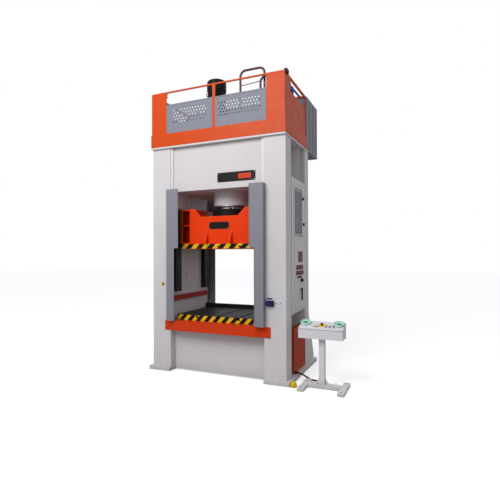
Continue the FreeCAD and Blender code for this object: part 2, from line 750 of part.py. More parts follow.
def grille(start, end, first, rows, count):
    """A grey sheet with staggered rows of round holes."""
    body = doc.addObject("PartDesign::Body", fresh("body"))
    shift = "skirt_front - skirt_thick"
    base = sketch_on(body, "XZ_Plane", shift)
    outline(base, [(start, DECK), (end, DECK), (end, "grille_top"), (start, "grille_top")])
    pad(body, base, "fence_sheet", True)
    holes = sketch_on(body, "XZ_Plane", shift)
    for row in range(rows):
        ring(holes, (f"{first} + {row % 2} * hole_pitch / 2", f"4600 - {row} * hole_row"), "hole_radius")
    cut = pocket(body, holes, "fence_sheet")
    repeat(body, cut, (holes, ["H_Axis"]), f"{count - 1} * hole_pitch", count)
    return body


def grilles():
    outer = f"{INNER_SIDE} - post_wide"
    group([
        grille(f"-({outer})", "-divider_half", "-800", 5, 12),
        grille("divider_half", outer, "100", 5, 14),
    ], "gallery_grilles")


def oil_tank():
    """A hollow sheet tank that stands on the deck and hangs down behind the columns."""
    body = new_body("oil_tank")
    drawing = sketch_on(body, "YZ_Plane", "-tank_half")
    outline(drawing, [
        ("tank_front", DECK), (BACK, DECK), (BACK, "tank_low"), ("tank_back", "tank_low"),
        ("tank_back", "tank_high"), ("tank_front", "tank_high")])
    pad(body, drawing, "2 * tank_half")
    hollow = sketch_on(body, "YZ_Plane", "-tank_half + tank_wall")
    outline(hollow, [
        ("tank_front + tank_wall", f"{DECK} + tank_wall"), (f"{BACK} + tank_wall", f"{DECK} + tank_wall"),
        (f"{BACK} + tank_wall", "tank_low + tank_wall"),
        ("tank_back - tank_wall", "tank_low + tank_wall"),
        ("tank_back - tank_wall", "tank_high - tank_wall"),
        ("tank_front + tank_wall", "tank_high - tank_wall")])
    pocket(body, hollow, "2 * tank_half - 2 * tank_wall", True)
    return body


def drive():
    """Motor, fan cowl, fan, bell housing with pump, valve block and accumulator."""
    motor = ("motor_across", "motor_along")
    body = turned("motor_body", [
        ("0", "motor_low"), ("motor_radius + 20", "motor_low"), ("motor_radius + 20", "motor_low + 25"),
        ("motor_radius", "motor_low + 25"), ("motor_radius", "motor_high"),
        ("shaft_radius + 12", "motor_high"), ("shaft_radius + 12", "motor_high - 10"),
        ("0", "motor_high - 10")])
    place(body, *motor)
    cowl = turned("fan_cowl", [
        ("motor_radius + 1", "motor_high - 30"), ("cowl_radius", "motor_high - 30"),
        ("cowl_radius", "cowl_high - 40"), ("cowl_radius - 50", "cowl_high"),
        ("40", "cowl_high"), ("40", "cowl_high - 6"), ("cowl_radius - 54", "cowl_high - 6"),
        ("cowl_radius - 6", "cowl_high - 43"), ("cowl_radius - 6", "motor_high + 4"),
        ("fan_radius + 12", "motor_high + 4"), ("fan_radius + 12", "motor_high"),
        ("motor_radius + 1", "motor_high")])
    place(cowl, *motor)
    fan = join([rod("shaft_radius", "80", "0", "0", "motor_high - 9.5"),
                rod("50", "55", "0", "0", "motor_high + 20")]
               + [blade(index) for index in range(7)], "motor_fan")
    place(fan, *motor)
    pump = turned("pump_unit", [
        ("0", DECK), ("pump_radius", DECK), ("pump_radius", "motor_low - 290"),
        ("bell_radius", "motor_low - 290"), ("bell_radius", "motor_low"), ("0", "motor_low")])
    place(pump, *motor)
    valves = [block(("170", "450"), ("-490", "-250"), (DECK, f"{DECK} + 330"))]
    valves += [block((f"{x}", f"{x} + 90"), ("-450", "-360"), (f"{DECK} + 330", f"{DECK} + 470"))
               for x in (190, 335)]
    valves += [rod("28", "70", "450", f"{y}", f"{DECK} + 200", "x") for y in (-430, -320)]
    join(valves, "valve_block")
    bottle = turned("accumulator", [
        ("0", DECK), ("bottle_radius - 15", DECK), ("bottle_radius - 15", f"{DECK} + 40"),
        ("bottle_radius", f"{DECK} + 70"), ("bottle_radius", "bottle_high - 110"),
        ("bottle_neck", "bottle_high - 70"), ("bottle_neck", "bottle_high"), ("0", "bottle_high")])
    place(bottle, "bottle_across", "bottle_along")


def blade(index):
    """One flat radial blade of the motor fan."""
    piece = doc.addObject("Part::Box", fresh("blade"))
    bind(piece, "Length", "fan_radius - 40")
    piece.Width = 4
    piece.Height = 50
    angle = 360 * index / 7
    piece.Placement = FreeCAD.Placement(
        FreeCAD.Vector(0, 0, 0), FreeCAD.Rotation(FreeCAD.Vector(0, 0, 1), angle))
    place(piece, f"40 * cos({angle} deg) + 2 * sin({angle} deg)",
          f"40 * sin({angle} deg) - 2 * cos({angle} deg)", "motor_high + 22")
    return piece


def vector(*texts):
    return FreeCAD.Vector(*[measure(text) for text in texts])


def bent_tube(points, radius, bend):
    """A round tube along straight runs with equal bends."""
    edges = []
    start = points[0]
    for before, corner, after in zip(points, points[1:], points[2:]):
        into = (corner - before).normalize()
        out = (after - corner).normalize()
        turn = into.getAngle(out)
        back = bend * math.tan(turn / 2)
        arc_start = corner - into * back
        arc_end = corner + out * back
        halfway = (into * -1 + out).normalize()
        centre = corner + halfway * (bend / math.cos(turn / 2))
        middle = centre - halfway * bend
        edges.append(Part.LineSegment(start, arc_start).toShape())
        edges.append(Part.Arc(arc_start, middle, arc_end).toShape())
        start = arc_end
    edges.append(Part.LineSegment(start, points[-1]).toShape())
    path = Part.Wire(edges)
    heading = (points[1] - points[0]).normalize()
    profile = Part.Wire([Part.makeCircle(radius, points[0], heading)])
    return path.makePipeShell([profile], True, False)


def hoops():
    """Two round-cornered hoops of bent tube and the thin link between them."""
    tall = bent_tube([
        vector("hoop_left", "hoop_along", DECK),
        vector("hoop_left", "hoop_along", "hoop_high - hoop_tube"),
        vector("hoop_right", "hoop_along", "hoop_high - hoop_tube"),
        vector("hoop_right", "hoop_along", DECK)],
        value("hoop_tube"), value("hoop_bend"))
    low = bent_tube([
        vector("low_hoop_left", "low_hoop_along", DECK),
        vector("low_hoop_left", "low_hoop_along", "low_hoop_high - hoop_tube"),
        vector("low_hoop_right", "low_hoop_along", "low_hoop_high - hoop_tube"),
        vector("low_hoop_right", "low_hoop_along", DECK)],
        value("hoop_tube"), value("hoop_bend"))
    piece = doc.addObject("Part::Feature", fresh("hoops"))
    start = vector("hoop_left", "hoop_along", "link_high")
    reach = vector("low_hoop_left", "low_hoop_along", "link_high") - start
    link = Part.makeCylinder(value("link_radius"), reach.Length, start, reach)
    piece.Shape = tall.fuse([low, link])
    piece.Placement = FreeCAD.Placement()
    named(piece, "ladder_hoops")


def pipes():
    """Suction pipe from tank to prefill valve, one pressure line and one return line."""
    suction = bent_tube([
        vector("0", "tank_front", "cylinder_high + 150"), vector("0", "180", "cylinder_high + 150")],
        value("pipe_radius"), 1)
    pressure = bent_tube([
        vector("400", "-250", f"{DECK} + 165"), vector("400", "0", f"{DECK} + 165"),
        vector("400", "0", "cylinder_high + 150"), vector("180", "0", "cylinder_high + 150")],
        value("line_radius"), 66)
    piece = doc.addObject("Part::Feature", fresh("pipes"))
    level = "bottle_high - 35"
    back = bent_tube([
        vector("bottle_across", "bottle_along + bottle_neck - 2", level),
        vector("bottle_across", "return_drop", level),
        vector("bottle_across", "return_drop", "tank_high")],
        value("return_radius"), 40)
    neck = Part.makeCylinder(value("bottle_neck"), 2 * value("bottle_neck"),
                             vector("bottle_across", "bottle_along", "bottle_high - 2 * bottle_neck"))
    piece.Shape = Part.makeCompound([suction, pressure, back.cut(neck)])
    piece.Placement = FreeCAD.Placement()
    named(piece, "oil_pipes")


def doors():
    """Two side doors hung at their front edge, with latches, switch and handle."""
    face = ("side_face + door_stand", "side_face + door_stand + door_thick")
    width = ("door_front", "door_back")
    outside = "side_face + door_stand + door_thick"
    for name, low, high in (("upper_door", "door_split_high", "door_high"),
                            ("lower_door", "door_low", "door_split_low")):
        knuckles = [rod("knuckle_radius", "90", outside, "door_front", start)
                    for start in (f"{low} + 120", f"{high} - 210")]
        join([block(face, width, (low, high))] + knuckles, name)
    for name, along, up in (("upper_latch", "285", "3036"), ("lower_latch", "318", "2586")):
        join([rod("16", "12", outside, along, up, "x"),
              block((outside, f"{outside} + 26"), (f"{along} - 8", f"{along} + 8"),
                    (f"{up} - 24", f"{up} + 24"))], name)
    join([rod("knob_radius", "18", outside, "knob_along", "knob_up", "x"),
          block((f"{outside} + 18", f"{outside} + 42"), ("knob_along - 9", "knob_along + 9"),
                ("knob_up - knob_radius", "knob_up + knob_radius"))], "door_switch")
    join([block((outside, f"{outside} + 14"), ("handle_along - 18", "handle_along + 18"),
                ("handle_high - 45", "handle_high")),
          block((f"{outside} + 14", f"{outside} + 30"), ("handle_along - 13", "handle_along + 13"),
                ("handle_low", "handle_high")),
          rod("12", "34", outside, "handle_along", "handle_high - 22.5", "x")], "door_handle")


def lower_covers():
    """Sheet covers over the anchor recess, standing on the foot plates."""
    def cover(side):
        plate = block(across(side, "column_reach - 10", "column_reach - 2"),
                      ("cover_front", "cover_back"), ("foot_thick", "cover_high"))
        back = block(across(side, "side_face - 60", "column_reach - 10"),
                     ("cover_back - 8", "cover_back"), ("foot_thick", "cover_high"))
        front = block(across(side, "side_face - 60", "column_reach - 10"),
                      ("cover_front", "cover_front + 8"), ("foot_thick", "cover_high"))
        roof = block(across(side, "side_face - 60", "column_reach - 10"),
                     ("cover_front", "cover_back"), ("cover_high - 8", "cover_high"))
        return join([plate, back, front, roof])
    group(both_sides(cover), "lower_covers")


def front_fittings():
    """Service socket with its flap, column stop button, name plate, levelling pad."""
    face = FRONT
    ahead = f"{face} - socket_deep"
    body = join([
        block(("socket_across - 42", "socket_across + 86"), (f"{face} - 22", face),
              ("socket_up - 46", "socket_up + 46")),
        rod("socket_radius", "socket_deep - 22", "socket_across", ahead, "socket_up", "y")])
    bore = rod("socket_radius - 6", "30", "socket_across", f"{ahead} - 5", "socket_up", "y")
    hood = block(("socket_across + 44", "socket_across + 80"), (ahead, f"{face} - 22"),
                 ("socket_up - 34", "socket_up + 34"))
    label = block(("socket_across - 32", "socket_across + 58"), (f"{face} - 3", face),
                  ("socket_up + 62", "socket_up + 86"))
    screws = [rod("9", "6", f"{x}", f"{face} - 6", "socket_up + 4", "y") for x in (1092, 1165)]
    group([join([carve(body, [bore]), hood]), label] + screws, "service_socket")
    join([
        rod("socket_radius + 3", "5", "socket_across", f"{ahead} - 5.3", "socket_up", "y"),
        block(("socket_across - 12", "socket_across + 12"), (f"{ahead} - 5.3", f"{ahead} - 0.3"),
              ("socket_up + socket_radius - 4", "socket_up + socket_radius + 6")),
        rod("4", "24", "socket_across - 12", f"{ahead} - 4.3", "socket_up + socket_radius + 6", "x"),
    ], "socket_flap")
    carve(rod("28", "20", "stop_across", f"{face} - 20", "stop_up", "y"),
          [rod("16.4", "19", "stop_across", f"{face} - 21", "stop_up", "y")], "stop_ring")
    named(rod("16", "18", "stop_across", f"{face} - 28", "stop_up", "y"), "column_stop_button")
    crown_face = f"{FRONT} + crown_recess"
    named(block(("32", "731"), (f"{crown_face} - plate_thick", crown_face), ("3277", "3436")), "crown_plate")
    bumper = turned("corner_pad", [
        ("0", "0"), ("pad_radius", "0"), ("pad_radius", "pad_high * 0.55"),
        ("pad_radius * 0.8", "pad_high * 0.82"), ("pad_radius * 0.4", "pad_high * 0.97"), ("0", "pad_high")])
    place(bumper, "foot_reach + pad_radius + 0.3", f"{FRONT} + 5")


def on_lid(piece, u, v, lift="0"):
    """Stands a piece on the console's sloping top at u across and v up the slope."""
    slope = "atan((console_back - console_front) / console_depth)"
    rise = (value("console_back") - value("console_front")) / value("console_depth")
    piece.Placement = FreeCAD.Placement(
        FreeCAD.Vector(0, 0, 0), FreeCAD.Rotation(FreeCAD.Vector(1, 0, 0), math.degrees(math.atan(rise))))
    bind(piece, "Placement.Rotation.Angle", slope)
    middle = "(console_front + console_back) / 2"
    place(piece, f"stand_across + {u}",
          f"stand_along + {v} * cos({slope}) - ({lift}) * sin({slope})",
          f"{middle} + {v} * sin({slope}) + ({lift}) * cos({slope})")


def console():
    """The two-hand console: stand, box, dishes and buttons."""
    x, y = "stand_across", "stand_along"
    half = "stand_tube / 2"
    length = (f"{y} - stand_foot_half", f"{y} + stand_foot_half")
    feet = [
        block((f"{x} - stand_foot_left", f"{x} - stand_foot_left + stand_foot_wide"), length,
              ("0", "stand_foot_high")),
        block((f"{x} + stand_foot_reach - stand_foot_wide", f"{x} + stand_foot_reach"), length,
              ("0", "stand_foot_high"))]
    beam = block((f"{x} - stand_foot_left + stand_foot_wide", f"{x} + stand_foot_reach - stand_foot_wide"),
                 (f"{y} - {half}", f"{y} + {half}"), ("5", "75"))
    post = block((f"{x} - {half}", f"{x} + {half}"), (f"{y} - {half}", f"{y} + {half}"),
                 ("75", "stand_top"))
    top = block((f"{x} - 90", f"{x} + 90"), (f"{y} - 80", f"{y} + 80"), ("stand_top", "console_low"))
    join(feet + [beam, post, top], "pedestal_stand")
    box = new_body()
    front = f"{y} - console_depth / 2"
    back = f"{y} + console_depth / 2"
    slack = "console_wall"
    drawing = sketch_on(box, "YZ_Plane", f"{x} - console_half")
    outline(drawing, [
        (front, "console_low"), (back, "console_low"), (back, "console_back"), (front, "console_front")])
    pad(box, drawing, "2 * console_half")
    hollow = sketch_on(box, "YZ_Plane", f"{x} - console_half + {slack}")
    outline(hollow, [
        (f"{front} + {slack}", f"console_low + {slack}"), (f"{back} - {slack}", f"console_low + {slack}"),
        (f"{back} - {slack}", f"console_back - 1.4 * {slack}"),
        (f"{front} + {slack}", f"console_front - {slack}")])
    pocket(box, hollow, "2 * console_half - 2 * console_wall", True)
    holes = []
    for radius, u, v in (("14.5", "-palm_across", "palm_up"), ("14.5", "palm_across", "palm_up"),
                         ("13.5", "0", "stop_along_lid"), ("11.5", "75", "keys_along_lid"),
                         ("11.5", "130", "keys_along_lid"), ("11.5", "185", "keys_along_lid")):
        hole = rod(radius, "40", "0", "0", "0")
        on_lid(hole, u, v, "-20")
        holes.append(hole)
    carve(box, holes, "console_box")
    dishes = []
    for side in (-1, 1):
        dish = dish_ring()
        on_lid(dish, f"{side} * palm_across", "palm_up")
        dishes.append(dish)
    group(dishes, "palm_guards")
    for side, label in ((-1, "left_palm_button"), (1, "right_palm_button")):
        button = turned(label, [
            ("0", "-14"), ("14", "-14"), ("14", "16"), ("palm_radius", "18"), ("palm_radius", "26"),
            ("palm_radius - 8", "34"), ("0", "38")])
        on_lid(button, f"{side} * palm_across", "palm_up")
    sheet_plate = block(("-45", "45"), ("-50", "50"), ("0", "3"))
    plate = carve(sheet_plate, [rod("13.5", "40", "0", "0", "-20")], "stop_plate")
    on_lid(plate, "0", "stop_along_lid")
    stop = turned("console_stop_button", [
        ("0", "-14"), ("13", "-14"), ("13", "20"), ("21", "22"), ("21", "32"), ("15", "37"), ("0", "38")])
    on_lid(stop, "0", "stop_along_lid")
    lamps = []
    for u in ("-105", "-62"):
        lamp = rod("12", "14", "0", "0", "0")
        on_lid(lamp, u, "keys_along_lid")
        lamps.append(lamp)
    group(lamps, "pilot_lamps")
    for word, u in (("one", "75"), ("two", "130"), ("three", "185")):
        knob = turned(f"push_button_{word}", [
            ("0", "-14"), ("11", "-14"), ("11", "14"), ("9", "16"), ("0", "16")])
        on_lid(knob, u, "keys_along_lid")


def dish_ring():
    """A guard dish with a hollow middle."""
    body = doc.addObject("PartDesign::Body", fresh("body"))
    drawing = sketch_on(body, "XZ_Plane")
    outline(drawing, [
        ("14.5", "0"), ("dish_radius - 22", "0"), ("dish_radius", "40"), ("dish_radius", "46"),
        ("dish_radius - 6", "46"), ("dish_radius - 27", "6"), ("14.5", "6")])
    made = body.newObject("PartDesign::Revolution", fresh("turn"))
    made.Profile = drawing
    made.ReferenceAxis = (drawing, ["V_Axis"])
    made.Angle = 360
    return body


# The conduit's route, from the cover's gland to the gland on the console post.
ROUTE = [
    (1300, -192, 94), (1385, -200, 80), (1465, -222, 46), (1545, -246, 21), (1625, -262, 17),
    (1700, -282, 31), (1764, -320, 63), (1796, -388, 93), (1800, -476, 105)]


def conduit():
    """A tube of straight runs joined by tangent arcs, and its two glands."""
    points = [FreeCAD.Vector(*point) for point in ROUTE]
    radius = value("conduit_radius")
    edges = []
    start = points[0]
    for before, corner, after in zip(points, points[1:], points[2:]):
        into, out = corner - before, after - corner
        turn = into.getAngle(out)
        back = 0.45 * min(into.Length, out.Length)
        bend = back / math.tan(turn / 2)
        into, out = into.normalize(), out.normalize()
        arc_start, arc_end = corner - into * back, corner + out * back
        toward = (out - into).normalize()
        centre = corner + toward * (bend / math.cos(turn / 2))
        print(f"conduit bend radius {bend:.0f} mm, {bend / (2 * radius):.1f} diameters")
        edges.append(Part.LineSegment(start, arc_start).toShape())
        edges.append(Part.Arc(arc_start, centre - toward * bend, arc_end).toShape())
        start = arc_end
    edges.append(Part.LineSegment(start, points[-1]).toShape())
    path = Part.Wire(edges)
    profile = Part.Wire([Part.makeCircle(radius, points[0], (points[1] - points[0]).normalize())])
    tube = path.makePipeShell([profile], True, False)
    share = tube.Volume / (math.pi * radius ** 2 * path.Length)
    print(f"conduit length {path.Length:.0f} mm, volume over section times length {share:.4f}")
    piece = doc.addObject("Part::Feature", fresh("conduit"))
    piece.Shape = tube
    piece.Placement = FreeCAD.Placement()
    named(piece, "console_conduit")
    near = rod("conduit_radius + 8", "1300 - column_reach + 2", "column_reach - 2",
               "gland_along", "gland_up", "x")
    far = rod("conduit_radius + 6", "25", "stand_across", "stand_along + stand_tube / 2",
              "post_gland_up", "y")
    group([near, far], "conduit_glands")


column(-1, "left_column")
column(1, "right_column")
crown()
bed()
slotted_plate("bolster", "bolster_half", "bolster_depth", "bed_top", "bolster_thick", True)
safety_bars()
inner_rails()
group([guide_rail(side, end) for side in (-1, 1) for end in (-1, 1)], "guide_rails")
group([guard(side, end) for side in (-1, 1) for end in (-1, 1)], "side_guards")
slide_block()
slotted_plate("slide_platen", "slide_half + 7", "slide_depth + 20", "slide_low", "platen_thick", False)
slide_fittings()
cylinder()
carve(block(("-deck_half", "deck_half"), ("-deck_front", BACK), ("frame_top", DECK)),
      [rod("barrel_radius + seat_gap", "deck_thick + 20", "0", "0", "frame_top - 10")], "gallery_deck")
skirt()
fence()
side_sheets()
grilles()
oil_tank()
drive()
hoops()
pipes()
doors()
lower_covers()
front_fittings()
console()
conduit()

doc.recompute()

for item in doc.Objects:
    if "Invalid" in item.State or "Error" in item.State:
        raise RuntimeError(f"{item.Name} {item.Label} failed: {item.State}")
for piece in kept:
    if piece.Shape.isNull() or not piece.Shape.isValid() or not piece.Shape.Solids:
        raise RuntimeError(f"{piece.Label} has no valid shape")

os.makedirs("parts", exist_ok=True)
for piece in kept:
    piece.Shape.exportStep(f"parts/{piece.Label}.step")
    print(piece.Label, len(piece.Shape.Solids), round(piece.Shape.Volume / 1e6, 2))
print(len(kept), "nodes")
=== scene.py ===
import bmesh
import bpy
import json
import math
import mathutils
import numpy as np
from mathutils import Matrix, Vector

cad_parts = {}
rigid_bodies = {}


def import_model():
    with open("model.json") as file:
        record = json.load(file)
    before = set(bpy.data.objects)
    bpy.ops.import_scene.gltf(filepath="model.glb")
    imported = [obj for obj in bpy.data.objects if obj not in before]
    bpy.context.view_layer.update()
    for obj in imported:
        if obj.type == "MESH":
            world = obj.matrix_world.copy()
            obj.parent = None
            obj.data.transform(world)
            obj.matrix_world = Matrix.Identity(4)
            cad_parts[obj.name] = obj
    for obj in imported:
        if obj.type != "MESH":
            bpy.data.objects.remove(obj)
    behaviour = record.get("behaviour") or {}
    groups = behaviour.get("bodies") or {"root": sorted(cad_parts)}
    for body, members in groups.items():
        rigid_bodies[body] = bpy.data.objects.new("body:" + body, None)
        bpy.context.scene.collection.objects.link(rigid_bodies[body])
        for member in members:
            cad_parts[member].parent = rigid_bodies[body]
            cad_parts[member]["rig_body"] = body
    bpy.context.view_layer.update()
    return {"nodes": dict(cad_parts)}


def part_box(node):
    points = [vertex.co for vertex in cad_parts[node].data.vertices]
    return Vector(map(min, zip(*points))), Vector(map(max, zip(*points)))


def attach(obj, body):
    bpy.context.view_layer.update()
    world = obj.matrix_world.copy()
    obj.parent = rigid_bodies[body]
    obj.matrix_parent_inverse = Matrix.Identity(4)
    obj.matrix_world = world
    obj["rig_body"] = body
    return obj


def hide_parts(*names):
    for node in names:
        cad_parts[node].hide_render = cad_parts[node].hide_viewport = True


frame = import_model()
print("frame loaded,", len(frame["nodes"]), "nodes")

studio = {
    "cameraPlace": (3.2934, -6.7248, 2.0724),
    "cameraYaw": 23.557,
    "cameraPitch": 0.489,
    "cameraRoll": -0.189,
    "lens": 29.35,
    "floorTint": (0.86, 0.86, 0.87),
    "skyTint": (0.98, 0.985, 1.0),
    "skyStrength": 0.62,
    "backdropStrength": 1.0,
    "floorLift": 0.44,
    "floorBounce": 0.36,
    "keyPlace": (-0.9, -6.2, 6.6),
    "keyAim": (0.0, -0.6, 3.0),
    "keySize": 3.6,
    "keyPower": 330.0,
}


def addCamera(values):
    # the view direction is (-sin yaw cos pitch, cos yaw cos pitch, sin pitch), rolled about itself
    yaw, pitch, roll = (math.radians(values[k]) for k in ("cameraYaw", "cameraPitch", "cameraRoll"))
    ahead = np.array([-math.sin(yaw) * math.cos(pitch), math.cos(yaw) * math.cos(pitch), math.sin(pitch)])
    right = np.array([math.cos(yaw), math.sin(yaw), 0.0])
    above = np.cross(right, ahead)
    rolledRight = math.cos(roll) * right + math.sin(roll) * above
    rolledAbove = math.cos(roll) * above - math.sin(roll) * right
    data = bpy.data.cameras.new("camera")
    data.lens = values["lens"]
    data.sensor_width = 36
    camera = bpy.data.objects.new("camera", data)
    bpy.context.collection.objects.link(camera)
    turn = np.stack([rolledRight, rolledAbove, -ahead], axis=1)
    matrix = np.eye(4)
    matrix[:3, :3] = turn
    matrix[:3, 3] = values["cameraPlace"]
    camera.matrix_world = mathutils.Matrix(matrix.tolist())
    bpy.context.scene.camera = camera


def addRoom(values):
    # a large pale floor, a bright even sky, and one soft key from the front left
    scene = bpy.context.scene
    scene.view_settings.view_transform = "Standard"
    world = bpy.data.worlds.new("softRoom")
    scene.world = world
    world.use_nodes = True
    sky = world.node_tree.nodes["Background"]
    sky.inputs["Color"].default_value = (*values["skyTint"], 1)
    sky.inputs["Strength"].default_value = values["skyStrength"]
    backdrop = world.node_tree.nodes.new("ShaderNodeBackground")
    backdrop.inputs["Color"].default_value = (1, 1, 1, 1)
    backdrop.inputs["Strength"].default_value = values["backdropStrength"]
    seen = world.node_tree.nodes.new("ShaderNodeLightPath").outputs["Is Camera Ray"]
    choice = world.node_tree.nodes.new("ShaderNodeMixShader")
    world.node_tree.links.new(seen, choice.inputs[0])
    world.node_tree.links.new(sky.outputs[0], choice.inputs[1])
    world.node_tree.links.new(backdrop.outputs[0], choice.inputs[2])
    world.node_tree.links.new(choice.outputs[0], world.node_tree.nodes["World Output"].inputs["Surface"])
    floorMesh = bpy.data.meshes.new("floor")
    reach = 40.0
    floorMesh.from_pydata([(-reach, -reach, 0), (reach, -reach, 0), (reach, reach, 0), (-reach, reach, 0)],
                          [], [(0, 1, 2, 3)])
    floor = bpy.data.objects.new("floor", floorMesh)
    scene.collection.objects.link(floor)
    floorMesh.materials.append(floorFinish(values))
    keyData = bpy.data.lights.new("key", "AREA")
    keyData.energy = values["keyPower"]
    keyData.size = values["keySize"]
    key = bpy.data.objects.new("key", keyData)
    scene.collection.objects.link(key)
    key.location = values["keyPlace"]
    toward = mathutils.Vector(values["keyAim"]) - mathutils.Vector(values["keyPlace"])
    key.rotation_euler = toward.to_track_quat("-Z", "Y").to_euler()
    key.visible_camera = False


def floorFinish(values):
    # seen directly the floor is almost white, and it throws less light back than a white floor would
    tint = bpy.data.materials.new("floorTint")
    tint.use_nodes = True
    nodes, links = tint.node_tree.nodes, tint.node_tree.links
    nodes.remove(nodes["Principled BSDF"])
    pale, dim = nodes.new("ShaderNodeBsdfDiffuse"), nodes.new("ShaderNodeBsdfDiffuse")
    pale.inputs["Color"].default_value = (*values["floorTint"], 1)
    dim.inputs["Color"].default_value = (*[values["floorBounce"]] * 3, 1)
    lift = nodes.new("ShaderNodeEmission")
    lift.inputs["Strength"].default_value = values["floorLift"]
    seen = nodes.new("ShaderNodeAddShader")
    choice = nodes.new("ShaderNodeMixShader")
    links.new(pale.outputs[0], seen.inputs[0])
    links.new(lift.outputs[0], seen.inputs[1])
    links.new(nodes.new("ShaderNodeLightPath").outputs["Is Camera Ray"], choice.inputs[0])
    links.new(dim.outputs[0], choice.inputs[1])
    links.new(seen.outputs[0], choice.inputs[2])
    links.new(choice.outputs[0], nodes["Material Output"].inputs["Surface"])
    return tint


addCamera(studio)
addRoom(studio)
print("camera and room set")


def newGroup(name, inputs, outputs):
    group = bpy.data.node_groups.new(name, "ShaderNodeTree")
    for label, kind, value in inputs:
        socket = group.interface.new_socket(label, in_out="INPUT", socket_type=kind)
        socket.default_value = value
    for label, kind in outputs:
        group.interface.new_socket(label, in_out="OUTPUT", socket_type=kind)
    return group, group.nodes.new("NodeGroupInput"), group.nodes.new("NodeGroupOutput")


def feed(tree, socket, source):
    # links a socket to another, or gives it a plain value; a colour gets its fourth number here
    if isinstance(source, bpy.types.NodeSocket):
        tree.links.new(source, socket)
    else:
        socket.default_value = (*source, 1) if socket.type == "RGBA" and len(source) == 3 else source


def mathNode(tree, operation, first, second=0.0):
    node = tree.nodes.new("ShaderNodeMath")
    node.operation = operation
    feed(tree, node.inputs[0], first)
    feed(tree, node.inputs[1], second)
    return node.outputs[0]


def noiseNode(tree, vector, scale, detail=2.0):
    node = tree.nodes.new("ShaderNodeTexNoise")
    node.inputs["Detail"].default_value = detail
    feed(tree, node.inputs["Vector"], vector)
    feed(tree, node.inputs["Scale"], scale)
    return node.outputs["Fac"]


def objectPlace(tree):
    return tree.nodes.new("ShaderNodeTexCoord").outputs["Object"]


def spread(tree, source, low, high):
    # takes a 0 to 1 noise to the range low to high, widened about its middle
    node = tree.nodes.new("ShaderNodeMapRange")
    node.inputs["From Min"].default_value = 0.3
    node.inputs["From Max"].default_value = 0.7
    for label, value in (("Value", source), ("To Min", low), ("To Max", high)):
        feed(tree, node.inputs[label], value)
    return node.outputs["Result"]


def mixColour(tree, factor, first, second, blend="MIX"):
    node = tree.nodes.new("ShaderNodeMix")
    node.data_type = "RGBA"
    node.blend_type = blend
    for slot, source in ((0, factor), (6, first), (7, second)):
        feed(tree, node.inputs[slot], source)
    return node.outputs[2]


def buildPaintSkin():
    # sprayed paint: slow shade drift, a little orange peel, roughness that drifts with it
    group, put, out = newGroup("paintSkin", [
        ("Colour", "NodeSocketColor", (0.8, 0.8, 0.8, 1)), ("Drift", "NodeSocketFloat", 0.04),
        ("Peel Scale", "NodeSocketFloat", 260.0), ("Gloss", "NodeSocketFloat", 0.4)],
        [("Colour", "NodeSocketColor"), ("Roughness", "NodeSocketFloat"), ("Height", "NodeSocketFloat")])
    place = objectPlace(group)
    drift = noiseNode(group, place, 1.3, 4.0)
    low = mathNode(group, "SUBTRACT", 1.0, put.outputs["Drift"])
    high = mathNode(group, "ADD", 1.0, put.outputs["Drift"])
    shade = spread(group, drift, low, high)
    tinted = group.nodes.new("ShaderNodeVectorMath")
    tinted.operation = "SCALE"
    group.links.new(put.outputs["Colour"], tinted.inputs[0])
    group.links.new(shade, tinted.inputs["Scale"])
    group.links.new(tinted.outputs[0], out.inputs["Colour"])
    sheen = noiseNode(group, place, 6.0, 3.0)
    rough = mathNode(group, "ADD", put.outputs["Gloss"], spread(group, sheen, -0.05, 0.06))
    group.links.new(rough, out.inputs["Roughness"])
    peel = noiseNode(group, place, put.outputs["Peel Scale"], 1.0)
    group.links.new(peel, out.inputs["Height"])
    return group


def buildFloorDarkening():
    # a patchy darkening towards brownish grey within a hand's height of the floor, strongest at the bottom
    group, put, out = newGroup("floorDarkening", [("Reach", "NodeSocketFloat", 0.18),
                                             ("Amount", "NodeSocketFloat", 0.35)],
                               [("Mask", "NodeSocketFloat")])
    place = objectPlace(group)
    split = group.nodes.new("ShaderNodeSeparateXYZ")
    group.links.new(place, split.inputs[0])
    rise = mathNode(group, "DIVIDE", split.outputs["Z"], put.outputs["Reach"])
    fall = mathNode(group, "SUBTRACT", 1.0, rise)
    near = mathNode(group, "MAXIMUM", fall, 0.0)
    patch = spread(group, noiseNode(group, place, 9.0, 5.0), 0.2, 1.0)
    mask = mathNode(group, "MULTIPLY", mathNode(group, "MULTIPLY", near, patch), put.outputs["Amount"])
    group.links.new(mask, out.inputs["Mask"])
    return group


